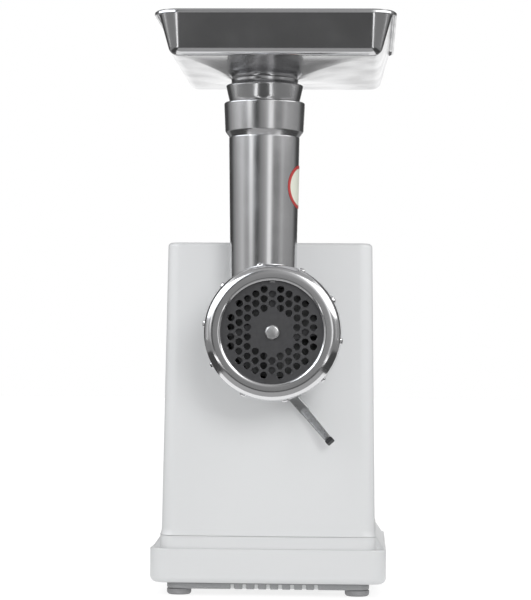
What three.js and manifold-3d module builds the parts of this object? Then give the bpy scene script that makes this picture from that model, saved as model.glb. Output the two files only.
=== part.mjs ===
// Electric meat grinder: white moulded housing on a wider base, universal motor and two-stage
// spur gearbox inside, and a detachable metal grinding head with a tall feed neck and a tray.
//
// Millimetres. x runs to the right, y towards the back and z up. The machine is drawn with x = 0 in the
// middle of the housing, y = 0 on the housing's front face and z = 0 on the table, and the group is
// then centred on the middle of its own footprint.

import * as THREE from 'three';
import { mergeVertices } from 'three/addons/utils/BufferGeometryUtils.js';
import Module from 'manifold-3d';

const wasm = await Module();
wasm.setup();

// ---------------------------------------------------------------- driving dimensions

const gap = 0.3; // between pieces that touch

const housing = { bottom: 39.5, top: 233, widthLow: 141, widthTop: 135.4, depth: 180, wall: 2.8, corner: 9 };
const skirt = { out: 1.2, height: 4 }; // flared lip round the housing's lower edge
const base = { bottom: 8.4, shoulder: 31.3, top: 38.9, width: 156.1, front: -2, back: 186, corner: 11 };
const cover = { bottom: 4.2, top: 11, width: 134, front: 5, back: 177, floor: 2.6 };
const vents = { count: 8, pitch: 7.9, width: 3, height: 3.4, x: 4.4, length: 61 }; // under the front edge
const slots = { count: 7, pitch: 8, width: 58, height: 3.2, low: 150 }; // in the back wall
const foot = { x: 59, front: 13.5, back: 168, radius: 8.1, tip: 6.2, stem: 3.4 };

// The head's main axis is the auger's, and the neck's x is measured from it.
const auger = { x: 6, z: 172.4, front: -85.5, back: -19.5, radius: 28.4, turns: 2.6 };
const neck = { x: -8.1, y: -44, low: 206, top: 320.1, radiusLow: 21.25, radiusTop: 22.75, wall: 1.8 };
const collar = { bottom: 298, radius: 26, lowRadius: 25.2, bore: 22.7, height: 17.5 };
const barrel = {
  front: -97.6, chamber: 29, body: 33.5, thread: 36.4, seat: 33, seatDepth: 4.3, flange: 28, stub: 24,
};
const nut = { front: -102, back: -76, opening: 31.6, faceOut: 36.2, body: 42.3, skirt: 42.9, bore: 37 };
const ribs = { count: 10, turn: 29, radius: 44.4, width: 2.6, front: -93 }; // turn in degrees, from +x to +z
const plate = { front: -98.6, thick: 5, radius: 32.6, hole: 2.15, pitch: 5.9, bore: 4.5 };
const plateHoles = { from: 2.6, to: 4.6 }; // distance of the hole centres, in pitches
const pin = { radius: 4.15, front: -101, square: 8.6 };
const socket = { bore: 24.4, tube: 29.5, flange: 33, front: -4, back: 16 };

const lever = { x: 12, z: 136, droop: 48.5, reach: 18, handle: 28.9, bend: 30, width: 6.4, rod: 2.5 };
const cam = { radius: 7.6, throw: 1, front: -10.8, back: -4.4 };

const tray = { rise: 341.2, wallTop: 363.4, rim: 365.8, lip: 2.7, sheet: 1.3, x: 7.9 }; // x: middle
const pan = { widthLow: 127, depthLow: 180.6, widthTop: 140.9, depthTop: 194.6, cornerLow: 9, cornerTop: 12 };
const spigot = {
  radius: 22.2, groove: 21.6, ridge: 24.8, end: 303, taper: 320.6, ridgeAt: 330.5, grooveTop: 337.2,
};

const pressure = THREE.MathUtils.degToRad(25);
const stub = 0.8; // tooth addendum, in modules
const backlash = 0.3;
const motorPinion = { teeth: 10, module: 1, from: 41, to: 51 };
const idlerWheel = { teeth: 62, module: 1, from: 42, to: 50 };
const idlerPinion = { teeth: 11, module: 1.4, from: 26.5, to: 41.7 };
const outputGear = { teeth: 66, module: 1.4, from: 27.5, to: 39 };
const outputAxis = new THREE.Vector2(auger.x, auger.z);
const secondStage = ((idlerPinion.teeth + outputGear.teeth) * idlerPinion.module) / 2;
const firstStage = ((motorPinion.teeth + idlerWheel.teeth) * motorPinion.module) / 2;
const idlerAxis = polar(secondStage, -72).add(outputAxis); // angles in the front view, from +x to +z
const motorAxis = polar(firstStage, -128).add(idlerAxis);

const motor = { half: 38, core: 20.6, front: 88, back: 126, commutator: 11.4, shaft: 4, bolt: 30.5 };
const pole = { inner: 13, outer: 28, half: 13, tip: 21.6, tipHalf: 17 }; // of the stator, from its axis
const coil = { inner: 22, outer: 27.4, half: 26, overhang: 6.6 };
const bearing = { outer: 9.5, front: 62.4, rear: 155.2 };
const brush = { y: 143, length: 15, wide: 6.2, tall: 8.2 };
const gearbox = { front: 16.5, plateBack: 20.5, floor: 54, back: 58, wall: 3 };
const gearCase = { output: 51, idler: 37, motor: 24, ear: 5.5 }; // radii of the case round each axis
const rocker = { y: 112, z: 192, tall: 24, wide: 17 };
const gland = { x: 44, z: 62, neck: 6, flange: 8.5, cord: 3.6 };

const round = { big: 30, middle: 20, small: 12, tiny: 8 }; // facets in a full turn

// ---------------------------------------------------------------- solids from three.js shapes

function polar(radius, degrees) {
  const a = THREE.MathUtils.degToRad(degrees);
  return new THREE.Vector2(radius * Math.cos(a), radius * Math.sin(a));
}

// A closed three.js geometry as a solid. A profile drawn the other way round comes out inside out,
// so its triangles are turned.
function solid(geometry) {
  const bare = geometry.index ? geometry.toNonIndexed() : geometry.clone();
  bare.deleteAttribute('normal');
  bare.deleteAttribute('uv');
  const merged = mergeVertices(bare, 1e-3);
  const corners = [];
  for (let i = 0; i < merged.index.count; i += 3) {
    const [a, b, c] = merged.index.array.slice(i, i + 3);
    if (a !== b && b !== c && c !== a) corners.push(a, b, c);
  }
  const build = (list) =>
    new wasm.Manifold(
      new wasm.Mesh({
        numProp: 3,
        vertProperties: merged.attributes.position.array,
        triVerts: Uint32Array.from(list),
      }),
    );
  const made = build(corners);
  return made.volume() > 0 ? made : build(corners.reverse());
}

function geometryOf(made) {
  const mesh = made.getMesh();
  return new THREE.BufferGeometry()
    .setAttribute('position', new THREE.BufferAttribute(mesh.vertProperties, 3))
    .setIndex(new THREE.BufferAttribute(mesh.triVerts, 1))
    .toNonIndexed();
}

function join(...geometries) {
  return geometries.map(solid).reduce((all, one) => all.add(one));
}

function cut(body, ...tools) {
  const start = body instanceof THREE.BufferGeometry ? solid(body) : body;
  return tools.map(solid).reduce((left, tool) => left.subtract(tool), start);
}

// A profile of [radius, place along the axis] pairs turned about y.
function turned(profile, facets = round.middle) {
  const points = profile.map(([r, y]) => new THREE.Vector2(r, y));
  return new THREE.LatheGeometry(points, facets);
}

// The same about z.
function turnedUp(profile, facets = round.middle) {
  return turned(profile, facets).rotateX(Math.PI / 2);
}

// A closed ring profile: outer radius, inner radius, and its two ends along the axis.
function tubeProfile(outer, inner, from, to) {
  return [[inner, from], [outer, from], [outer, to], [inner, to], [inner, from]];
}

function rod(radius, from, to, facets = round.small) {
  return turned([[0, from], [radius, from], [radius, to], [0, to]], facets);
}

function tube(outer, inner, from, to, facets = round.middle) {
  return turned(tubeProfile(outer, inner, from, to), facets);
}

// A round bar that stands upright.
function upright(radius, from, to, facets = round.tiny) {
  return turnedUp([[0, from], [radius, from], [radius, to], [0, to]], facets);
}

function box(width, depth, height, x = 0, y = 0, z = 0) {
  return new THREE.BoxGeometry(width, depth, height).translate(x, y, z);
}

// A flat shape, drawn in the front view, extruded from one y to another.
function platedY(shape, from, to) {
  return new THREE.ExtrudeGeometry(shape, { depth: to - from, bevelEnabled: false, curveSegments: 8 })
    .rotateX(Math.PI / 2)
    .translate(0, to, 0);
}

// A prism with a regular outline, its first corner at an angle in the front view.
function prism(sides, radius, from, to, firstDegrees = 0) {
  const corners = Array.from({ length: sides }, (_, i) => polar(radius, firstDegrees + (i * 360) / sides));
  return platedY(new THREE.Shape(corners), from, to);
}

function flat(points) {
  return new THREE.Shape(points.map((p) => new THREE.Vector2(p.x, p.y)));
}

// One level of a loft: a rounded rectangle, or a circle where the corner is half the width.
function ring(width, depth, corner, z, x = 0, y = 0, steps = 6) {
  const points = [];
  for (let quarter = 0; quarter < 4; quarter++) {
    const cx = (width / 2 - corner) * (quarter === 0 || quarter === 3 ? 1 : -1);
    const cy = (depth / 2 - corner) * (quarter < 2 ? 1 : -1);
    for (let i = 0; i <= steps; i++) {
      const p = polar(corner, quarter * 90 + (i * 90) / steps);
      points.push(new THREE.Vector3(x + cx + p.x, y + cy + p.y, z));
    }
  }
  return points;
}

// The skin through a stack of rings with equal counts. It has flat ends, or it closes on itself.
function loft(rings, closed = false) {
  const count = rings[0].length;
  const corners = [];
  const quad = (a, b, c, d) => corners.push(a, b, c, a, c, d);
  const last = closed ? rings.length : rings.length - 1;
  for (let i = 0; i < last; i++) {
    const low = rings[i];
    const high = rings[(i + 1) % rings.length];
    for (let j = 0; j < count; j++) {
      const k = (j + 1) % count;
      quad(low[j], low[k], high[k], high[j]);
    }
  }
  if (!closed) {
    for (const [end, flip] of [[rings[0], true], [rings.at(-1), false]]) {
      const middle = end.reduce((sum, p) => sum.add(p), new THREE.Vector3()).divideScalar(count);
      for (let j = 0; j < count; j++) {
        const pair = [end[j], end[(j + 1) % count]];
        corners.push(middle, ...(flip ? pair.reverse() : pair));
      }
    }
  }
  return new THREE.BufferGeometry().setFromPoints(corners);
}

// A spur gear's outline, with straight-sided stub teeth whose corners lie on the involute, so the
// flanks never reach outside the true curve.
function gearShape({ teeth, module }, bore, toothAt) {
  const pitchRadius = (teeth * module) / 2;
  const baseRadius = pitchRadius * Math.cos(pressure);
  const tip = pitchRadius + stub * module;
  const root = Math.max(pitchRadius - (stub + 0.3) * module, baseRadius * 0.9);
  const involute = (r) => Math.sqrt(Math.max((r / baseRadius) ** 2 - 1, 0)) -
    Math.acos(Math.min(baseRadius / r, 1));
  const half = Math.PI / (2 * teeth) - backlash / 2 / (2 * pitchRadius);
  const halfAt = (r) => half + involute(pitchRadius) - involute(Math.max(r, baseRadius));
  const radii = [root, tip];
  const points = [];
  for (let i = 0; i < teeth; i++) {
    const middle = toothAt + (i * 2 * Math.PI) / teeth;
    for (const r of radii) points.push([r, middle - halfAt(r)]);
    for (const r of [...radii].reverse()) points.push([r, middle + halfAt(r)]);
  }
  const shape = new THREE.Shape(points.map(([r, a]) => new THREE.Vector2(r * Math.cos(a), r * Math.sin(a))));
  const hole = new THREE.Path();
  hole.absarc(0, 0, bore, 0, 2 * Math.PI, true);
  shape.holes.push(hole);
  return shape;
}

function gear(sizes, bore, toothAt) {
  return platedY(gearShape(sizes, bore, toothAt), sizes.from, sizes.to);
}

// ---------------------------------------------------------------- materials

function finish(color, roughness, metalness) {
  return new THREE.MeshStandardMaterial({ color, roughness, metalness });
}

const whitePlastic = finish('#e9eaeb', 0.32, 0);
const greyPlastic = finish('#8b8d90', 0.6, 0);
const blackPlastic = finish('#1c1c1e', 0.5, 0);
const creamPlastic = finish('#e6e1d2', 0.45, 0);
const rubber = finish('#77797c', 0.85, 0);
const polishedSteel = finish('#b9bbbd', 0.12, 1);
const castAluminium = finish('#a9abad', 0.28, 1);
const sheetAluminium = finish('#a3a5a7', 0.2, 1);
const plateSteel = finish('#6d6f71', 0.35, 1);
const plainSteel = finish('#8f9193', 0.4, 1);
const lamination = finish('#5e6165', 0.55, 1);
const copper = finish('#b0643a', 0.35, 1);
const bronze = finish('#a8854f', 0.4, 1);
const carbon = finish('#2a2a2c', 0.8, 0);

// ---------------------------------------------------------------- scene graph

const machine = new THREE.Group();
const head = new THREE.Group(); // everything on the auger's axis
head.position.set(auger.x, 0, auger.z);
const output = new THREE.Group();
output.position.set(outputAxis.x, 0, outputAxis.y);
const idler = new THREE.Group();
idler.position.set(idlerAxis.x, 0, idlerAxis.y);
const drive = new THREE.Group();
drive.position.set(motorAxis.x, 0, motorAxis.y);
const clamp = new THREE.Group();
clamp.position.set(lever.x, 0, lever.z);
clamp.rotation.y = THREE.MathUtils.degToRad(lever.droop);
machine.add(head, output, idler, drive, clamp);

function add(group, name, shape, material) {
  const made = shape instanceof THREE.BufferGeometry ? solid(shape) : shape;
  const mesh = new THREE.Mesh(geometryOf(made), material);
  mesh.name = name;
  group.add(mesh);
  return mesh;
}

// ---------------------------------------------------------------- housing, base and feet

const housingMiddle = housing.depth / 2;
const innerWidth = housing.widthLow - 2 * housing.wall;
const footPlaces = [
  [-foot.x, foot.front],
  [foot.x, foot.front],
  [-foot.x, foot.back],
  [foot.x, foot.back],
];
const footNames = ['foot_front_left', 'foot_front_right', 'foot_back_left', 'foot_back_right'];
const screwPlaces = footPlaces.map(([x, y]) => [x * 0.86, y + (y < housingMiddle ? 22 : -22)]);
const screwPost = { radius: 4.5, top: 30 };

function wallAt(z) {
  const share = (z - housing.bottom) / (housing.top - housing.bottom);
  return THREE.MathUtils.lerp(housing.widthLow, housing.widthTop, share) / 2;
}

// The housing's outline at a height, moved outwards by grow.
function housingLevel(z, grow) {
  const width = 2 * (wallAt(z) + grow);
  return ring(width, housing.depth + 2 * grow, housing.corner + grow, z, 0, housingMiddle, 3);
}

function housingShell() {
  const outside = loft([
    housingLevel(housing.bottom, skirt.out),
    housingLevel(housing.bottom + 1.2, skirt.out),
    housingLevel(housing.bottom + skirt.height, 0),
    housingLevel(housing.top - 3, 0),
    housingLevel(housing.top - 0.9, -0.9),
    housingLevel(housing.top, -3),
  ]);
  const inside = loft([
    housingLevel(housing.bottom - 1, -housing.wall),
    housingLevel(housing.top - housing.wall, -housing.wall),
  ]);
  const headHole = rod(socket.tube + gap, -5, 8, round.big).translate(auger.x, 0, auger.z);
  const studHole = rod(3.4, -5, 8, round.tiny).translate(lever.x, 0, lever.z);
  const switchHole = box(20, 26.6, 32.6, -housing.widthLow / 2, rocker.y, rocker.z);
  const glandHole = rod(gland.neck + 0.4, housing.depth - 6, housing.depth + 6);
  glandHole.translate(gland.x, 0, gland.z);
  const backSlots = Array.from({ length: slots.count }, (_, i) =>
    box(slots.width, 12, slots.height, 0, housing.depth, slots.low + slots.pitch * i),
  );
  return cut(outside, inside, headHole, studHole, switchHole, glandHole, ...backSlots);
}

function baseShell() {
  const middle = (base.front + base.back) / 2;
  const depth = base.back - base.front;
  const level = (z, inset, insetY = inset) =>
    ring(base.width - 2 * inset, depth - 2 * insetY, base.corner - Math.min(inset, insetY), z, 0, middle, 3);
  const slab = loft([
    level(base.bottom, 4),
    level(base.bottom + 0.9, 1.4),
    level(base.bottom + 3.2, 0),
    level(base.shoulder - 0.6, 0),
    level(base.shoulder, 0.6),
  ]);
  const plinthWidth = housing.widthLow + 2 * skirt.out;
  const plinth = loft([
    ring(plinthWidth, depth - 2.4, housing.corner, base.shoulder - 5, 0, middle, 3),
    ring(plinthWidth - 0.6, depth - 3.4, housing.corner, base.top, 0, middle, 3),
  ]);
  const flank = 8; // how far the sloped sides start behind the front face
  const sides = loft([
    ring(base.width - 1.2, depth - 2 * flank, base.corner, base.shoulder - 1, 0, middle, 3),
    ring(plinthWidth - 0.4, depth - 2 * flank - 12, base.corner, base.top - 0.1, 0, middle, 3),
  ]);
  const inside = box(innerWidth, housing.depth - 8, 60, 0, housingMiddle, 30);
  const shell = cut(join(slab, plinth, sides), inside);
  const webTop = screwPost.top; // a web ties each post to the side wall
  const webBottom = cover.top + 1;
  const posts = screwPlaces.flatMap(([x, y]) => [
    upright(screwPost.radius, cover.bottom + cover.floor + gap, screwPost.top).translate(x, y, 0),
    box(18, 3, webTop - webBottom, x + Math.sign(x) * 10, y, (webTop + webBottom) / 2),
  ]);
  const holes = screwPlaces.map(([x, y]) => upright(2, 0, screwPost.top - 3).translate(x, y, 0));
  return cut(shell.add(join(...posts)), ...holes);
}

function bottomCover() {
  const middle = (cover.front + cover.back) / 2;
  const depth = cover.back - cover.front;
  const upstand = cover.top - cover.bottom - 1;
  const outside = join(
    loft([
      ring(cover.width, depth, 8, cover.bottom, 0, middle, 3),
      ring(cover.width, depth, 8, base.bottom - gap, 0, middle, 3),
    ]),
    box(cover.width - 1, depth - 4, upstand, 0, middle, cover.top - upstand / 2),
  );
  const pocket = box(cover.width - 8, depth - 11, 20, 0, middle, cover.bottom + cover.floor + 10);
  const notches = Array.from({ length: vents.count }, (_, i) => {
    const x = vents.x + (i - (vents.count - 1) / 2) * vents.pitch;
    const notch = new THREE.Shape();
    notch.moveTo(x - vents.width / 2, cover.bottom - 1);
    notch.lineTo(x + vents.width / 2, cover.bottom - 1);
    notch.lineTo(x + vents.width / 4, cover.bottom + vents.height);
    notch.lineTo(x - vents.width / 4, cover.bottom + vents.height);
    return platedY(notch, cover.front - 1, cover.front + vents.length);
  });
  const footHoles = footPlaces.map(([x, y]) => upright(foot.stem + gap, 0, 20).translate(x, y, 0));
  const screwHoles = screwPlaces.map(([x, y]) => upright(2, 0, 20).translate(x, y, 0));
  return cut(outside, pocket, ...notches, ...footHoles, ...screwHoles);
}

function footSolid() {
  const under = cover.bottom - gap;
  const stemTop = cover.bottom + cover.floor + 1.5;
  return turnedUp(
    [
      [0, 0], [foot.tip, 0], [foot.radius - 0.6, 1.6], [foot.radius, 3.4], [foot.radius, under],
      [foot.stem, under], [foot.stem, stemTop], [0, stemTop],
    ],
    round.small,
  );
}

function coverScrew() {
  const seat = cover.bottom - gap;
  return turnedUp(
    [
      [0, seat - 1.8], [2.6, seat - 1.8], [3.4, seat - 0.8], [3.4, seat], [1.7, seat], [1.7, seat + 16],
      [0, seat + 16],
    ],
    round.tiny,
  );
}

add(machine, 'housing_shell', housingShell(), whitePlastic);
add(machine, 'base_shell', baseShell(), whitePlastic);
add(machine, 'bottom_cover', bottomCover(), greyPlastic);
footPlaces.forEach(([x, y], i) => {
  add(machine, footNames[i], footSolid(), rubber).position.set(x, y, 0);
  const screw = add(machine, footNames[i].replace('foot', 'cover_screw'), coverScrew(), plainSteel);
  screw.position.set(...screwPlaces[i], 0);
});

// ---------------------------------------------------------------- grinding head

// The casting: barrel, feed neck and the collar that takes the tray, in one piece.
function headSolid() {
  const outside = turned(
    [
      [0, barrel.front], [barrel.thread - 0.8, barrel.front], [barrel.thread, barrel.front + 0.8],
      [barrel.thread, nut.back + 2], [barrel.body, nut.back + 4], [barrel.body, -26],
      [barrel.body - 4, -17], [barrel.stub, -14], [barrel.stub, cam.front + 0.4],
      [barrel.flange, cam.front + 0.4], [barrel.flange, cam.back], [barrel.stub, cam.back],
      [barrel.stub, 14], [0, 14],
    ],
    round.big,
  );
  const step = collar.bottom - auger.z;
  const top = neck.top - auger.z;
  const tubeSolid = turnedUp(
    [
      [0, 2], [neck.radiusLow - 0.6, 2], [neck.radiusTop, step], [collar.lowRadius, step + 3.4],
      [collar.radius, top - 1], [collar.radius - 0.8, top], [0, top],
    ],
    round.big,
  ).translate(neck.x, neck.y, 0);
  const shoulder = barrel.front + barrel.seatDepth;
  const chamberEnd = auger.back + 0.8;
  const bore = turned(
    [
      [0, barrel.front - 1], [barrel.seat, barrel.front - 1], [barrel.seat, shoulder],
      [barrel.chamber, shoulder], [barrel.chamber, chamberEnd], [13.6, chamberEnd],
      [13.6, -11], [15.5, -11], [15.5, 15], [0, 15],
    ],
    round.big,
  );
  const seat = top - collar.height;
  const lowBore = neck.radiusLow - neck.wall;
  const topBore = neck.radiusTop - neck.wall;
  const throat = turnedUp(
    [
      [0, 5], [lowBore, 5], [lowBore, neck.low - auger.z], [topBore, seat - 1.5], [collar.bore, seat],
      [collar.bore, top + 1], [0, top + 1],
    ],
    round.big,
  ).translate(neck.x, neck.y, 0);
  const keyLength = barrel.seatDepth - 0.6; // it holds the plate's notch
  const key = box(3, keyLength, 3.2, 0, shoulder - keyLength / 2, barrel.seat - 0.4);
  return cut(join(outside, tubeSolid), bore, throat).add(solid(key));
}

const squareEnd = plate.front + plate.thick + gap; // the square that drives the knife stops behind the plate

// The screw: a tapering core with one helical flight, whose pitch shortens towards the front.
function augerSolid() {
  const length = auger.back - auger.front;
  const core = turned(
    [
      [0, auger.front], [13, auger.front], [11, auger.front + 0.6 * length], [9.5, auger.back],
      [0, auger.back],
    ],
    round.middle,
  );
  const steps = Math.round(auger.turns * 14);
  const rings = Array.from({ length: steps + 1 }, (_, i) => {
    const t = i / steps;
    const angle = t * auger.turns * 2 * Math.PI;
    const y = auger.front + 3.4 + (length - 7) * t ** 1.25;
    const at = (r, dy) => new THREE.Vector3(r * Math.cos(angle), y + dy, r * Math.sin(angle));
    return [at(7, -2.6), at(auger.radius, -1.1), at(auger.radius, 1.1), at(7, 2.6)];
  });
  const tail = rod(9, auger.back - 1, 0.5, round.small);
  const hex = prism(6, 7.4, 0, 20);
  const squareBack = auger.front + 1;
  const square = box(pin.square, squareBack - squareEnd, pin.square, 0, (squareBack + squareEnd) / 2, 0);
  return join(core, loft(rings), tail, hex, square);
}

function knifeSolid() {
  const back = auger.front - 0.5;
  const front = squareEnd;
  const arms = Array.from({ length: 4 }, (_, i) => {
    const blade = new THREE.Shape([
      new THREE.Vector2(4, -4.6), new THREE.Vector2(15, -4.4), new THREE.Vector2(28, -1.2),
      new THREE.Vector2(28, 2.4), new THREE.Vector2(14, 1.6), new THREE.Vector2(4, 4.6),
    ]);
    return platedY(blade, front, front + 4.2).rotateY((i * Math.PI) / 2);
  });
  const hub = rod(9.5, front, back, round.middle);
  const hole = box(pin.square + 2 * gap, 30, pin.square + 2 * gap, 0, front, 0);
  return cut(join(hub, ...arms), hole);
}

function pinSolid() {
  const end = squareEnd - gap;
  return turned(
    [
      [0, pin.front], [pin.radius - 1.1, pin.front], [pin.radius, pin.front + 1.1], [pin.radius, end],
      [0, end],
    ],
    round.small,
  );
}

function plateSolid() {
  const shape = new THREE.Shape();
  shape.absarc(0, 0, plate.radius, 0, 2 * Math.PI);
  const back = plate.front + plate.thick;
  const settings = { depth: plate.thick, bevelEnabled: false, curveSegments: round.big / 2 };
  const rim = new THREE.ExtrudeGeometry(shape, settings).rotateX(Math.PI / 2).translate(0, back, 0);
  const reach = Math.ceil(plateHoles.to) + 1;
  const holes = [];
  for (let column = -reach; column <= reach; column++) {
    for (let row = -reach; row <= reach; row++) {
      const place = new THREE.Vector2(column * Math.sqrt(0.75), row + (column % 2 ? 0.5 : 0));
      if (place.length() < plateHoles.from || place.length() > plateHoles.to) continue;
      place.multiplyScalar(plate.pitch);
      holes.push(prism(6, plate.hole, plate.front - 1, back + 1).translate(place.x, 0, place.y));
    }
  }
  const bore = rod(plate.bore, plate.front - 1, back + 1, round.small);
  const notch = box(3.8, 20, 4.2, 0, plate.front, plate.radius);
  return cut(rim, bore, notch, ...holes);
}

function nutSolid() {
  const outside = turned(
    [
      [0, nut.front + 1], [nut.opening + 1.2, nut.front + 1], [nut.opening + 2.2, nut.front],
      [nut.faceOut, nut.front], [nut.faceOut + 2.8, nut.front + 1.2], [nut.body - 0.8, nut.front + 3.6],
      [nut.body, nut.front + 7],
      [nut.skirt, nut.back - 1], [nut.skirt - 0.8, nut.back], [0, nut.back],
    ],
    round.big,
  );
  const length = nut.back - 1 - ribs.front;
  const grip = Array.from({ length: ribs.count }, (_, i) =>
    box(6, length, ribs.width, ribs.radius - 3, ribs.front + length / 2, 0).rotateY(
      -THREE.MathUtils.degToRad(ribs.turn + (i * 360) / ribs.count),
    ),
  );
  const bore = rod(nut.bore, plate.front - gap, nut.back + 1, round.big);
  const opening = turned(
    [
      [0, nut.front - 1], [nut.opening + 2.2, nut.front - 1], [nut.opening + 2.2, nut.front],
      [nut.opening, nut.front + 1.8], [nut.opening, plate.front], [0, plate.front],
    ],
    round.big,
  );
  return cut(join(outside, ...grip), bore, opening);
}

function traySolid() {
  const steps = 5;
  const up = (z) => z - auger.z;
  const circle = (r, z) => ring(2 * r, 2 * r, r, up(z), neck.x, neck.y, steps);
  const middleX = tray.x - auger.x;
  const level = (share, z, inset) => {
    const width = THREE.MathUtils.lerp(pan.widthLow, pan.widthTop, share) - 2 * inset;
    const depth = THREE.MathUtils.lerp(pan.depthLow, pan.depthTop, share) - 2 * inset;
    const corner = THREE.MathUtils.lerp(pan.cornerLow, pan.cornerTop, share) - inset;
    return ring(width, depth, corner, up(z), middleX, neck.y, steps);
  };
  const t = tray.sheet;
  return loft(
    [
      circle(spigot.radius - 0.3, spigot.end), circle(spigot.radius, spigot.taper),
      circle(spigot.ridge, spigot.ridgeAt), circle(spigot.ridge - 0.6, spigot.ridgeAt + 1.2),
      circle(spigot.groove, spigot.ridgeAt + 2), circle(spigot.groove, spigot.grooveTop),
      level(0, tray.rise, 0), level(0.3, tray.rise + 1.2, 0.2), level(0.42, tray.rise + 4.5, 0),
      level(1, tray.wallTop, 0), level(1, tray.wallTop + 0.4, -tray.lip),
      level(1, tray.rim - 0.6, -tray.lip - 0.2),
      level(1, tray.rim, -tray.lip + 1), level(1, tray.rim, t - 0.8), level(1, tray.wallTop, t),
      level(0.42, tray.rise + 4.5, t), level(0.3, tray.rise + 1.2 + t, 1.4), level(0, tray.rise + t, 0.8),
      circle(spigot.groove - t, spigot.grooveTop + t), circle(spigot.groove - t, spigot.end),
    ],
    true,
  );
}

add(head, 'grinder_head', headSolid(), polishedSteel);
add(head, 'tray', traySolid(), sheetAluminium);
add(head, 'auger', augerSolid(), castAluminium);
add(head, 'auger_pin', pinSolid(), polishedSteel);
add(head, 'auger_bush', tube(13.1, 9.5, auger.back + 1.6, -2), creamPlastic);
add(head, 'knife', knifeSolid(), plainSteel);
add(head, 'cutting_plate', plateSolid(), plateSteel);
add(head, 'ring_nut', nutSolid(), polishedSteel);

// ---------------------------------------------------------------- head socket and clamp

function socketSolid() {
  return turned(
    [
      [socket.bore, socket.front], [socket.flange - 0.6, socket.front], [socket.flange, socket.front + 0.6],
      [socket.flange, -gap], [socket.tube, -gap], [socket.tube, socket.back], [socket.bore, socket.back],
      [socket.bore, socket.front],
    ],
    round.big,
  );
}

// The lever is drawn along +x; its group turns it down to the right.
function leverSolid() {
  const thick = 5;
  const toAxis = new THREE.Vector3(auger.x - lever.x, 0, auger.z - lever.z)
    .setLength(cam.throw)
    .applyAxisAngle(new THREE.Vector3(0, 1, 0), -clamp.rotation.y);
  const hub = rod(cam.radius, cam.front, cam.back, round.middle).translate(toAxis.x, 0, toAxis.z);
  const arm = box(lever.reach, thick, lever.width, lever.reach / 2, cam.front + thick / 2, 0);
  const bend = THREE.MathUtils.degToRad(lever.bend);
  const handle = rod(lever.rod, 0, lever.handle)
    .rotateZ(-Math.PI / 2 - bend)
    .translate(lever.reach - 1.2, cam.front + thick / 2, 0);
  const knuckle = rod(lever.width / 2, cam.front, cam.front + thick).translate(lever.reach, 0, 0);
  const hole = rod(3.4, -20, 0, round.small);
  return cut(join(hub, arm, knuckle, handle), hole);
}

function leverTip() {
  const bend = THREE.MathUtils.degToRad(lever.bend);
  const start = lever.handle + gap;
  return turned(
    [
      [0, start], [lever.rod + 0.3, start], [lever.rod + 0.3, start + 2.2], [lever.rod - 0.4, start + 2.9],
      [0, start + 2.9],
    ],
    round.small,
  )
    .rotateZ(-Math.PI / 2 - bend)
    .translate(lever.reach - 1.2, cam.front + 2.5, 0);
}

function studSolid() {
  return turned(
    [
      [0, cam.front - 3.6], [3, cam.front - 3.6], [5.2, cam.front - 2.4], [5.2, cam.front - gap],
      [3.05, cam.front - gap], [3.05, 8], [0, 8],
    ],
    round.small,
  );
}

add(head, 'head_socket', socketSolid(), castAluminium);
add(clamp, 'clamp_lever', leverSolid(), castAluminium);
add(clamp, 'lever_tip', leverTip(), blackPlastic);
add(clamp, 'clamp_stud', studSolid(), plainSteel);

// ---------------------------------------------------------------- gearbox

// The case's outline is a disc round each of the three axes, joined.
function gearboxDiscs(inset, from, to) {
  return [
    at(outputAxis, rod(gearCase.output - inset, from, to, round.middle)),
    at(idlerAxis, rod(gearCase.idler - inset, from, to, round.middle)),
    at(motorAxis, rod(gearCase.motor - inset, from, to, round.middle)),
  ];
}

function at(axis, geometry) {
  return geometry.translate(axis.x, 0, axis.y);
}

const boltPlaces = [new THREE.Vector2(-motor.bolt, motor.bolt), new THREE.Vector2(motor.bolt, -motor.bolt)];
const earPlaces = [
  polar(gearCase.output + 1, 150).add(outputAxis),
  polar(gearCase.output + 1, 30).add(outputAxis),
  polar(gearCase.motor + 1, 200).add(motorAxis),
];

// A bar across the motor's two bolts. It is the shape of both brackets and of the gearbox's motor seat.
function boltBar(from, to) {
  const length = 2 * (Math.SQRT2 * motor.bolt + 6);
  return platedY(flat(ring(length, 22, 10, 0)), from, to).rotateY(Math.PI / 4);
}

function boltHoles(from, to) {
  return boltPlaces.map((place) => at(place, rod(2.6, from, to, round.tiny)));
}

function gearboxCase() {
  const { floor, back, wall, plateBack } = gearbox;
  const ears = earPlaces.map((place) => at(place, rod(gearCase.ear, plateBack + gap, 40)));
  const seatBar = at(motorAxis, boltBar(floor, back));
  const outside = join(...gearboxDiscs(0, plateBack + gap, back), ...ears, seatBar);
  const hollow = gearboxDiscs(wall, plateBack - 1, floor);
  const boss = at(outputAxis, tube(16.5, 12.3, 45, floor + 1));
  const shaftHole = at(motorAxis, rod(8, floor - 5, back + 5));
  const axleHole = at(idlerAxis, rod(4 + gap, floor - 5, back + 5));
  const seats = boltHoles(floor - 1, back + 1).map((hole) => at(motorAxis, hole));
  const threads = earPlaces.map((place) => at(place, rod(1.9, 10, 38, round.tiny)));
  return cut(cut(outside, ...hollow).add(solid(boss)), shaftHole, axleHole, ...seats, ...threads);
}

function gearboxCover() {
  const { front, plateBack } = gearbox;
  const ears = earPlaces.map((place) => at(place, rod(gearCase.ear, front, plateBack)));
  const bushSeat = at(outputAxis, rod(18, front, 25, round.middle));
  const outside = join(...gearboxDiscs(0, front, plateBack), bushSeat, ...ears);
  return cut(
    outside,
    at(outputAxis, rod(15.3, front - 1, 26, round.middle)),
    at(idlerAxis, rod(4 + gap, front - 1, plateBack + 1)),
    ...earPlaces.map((place) => at(place, rod(1.9, 10, 38, round.tiny))),
  );
}

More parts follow.
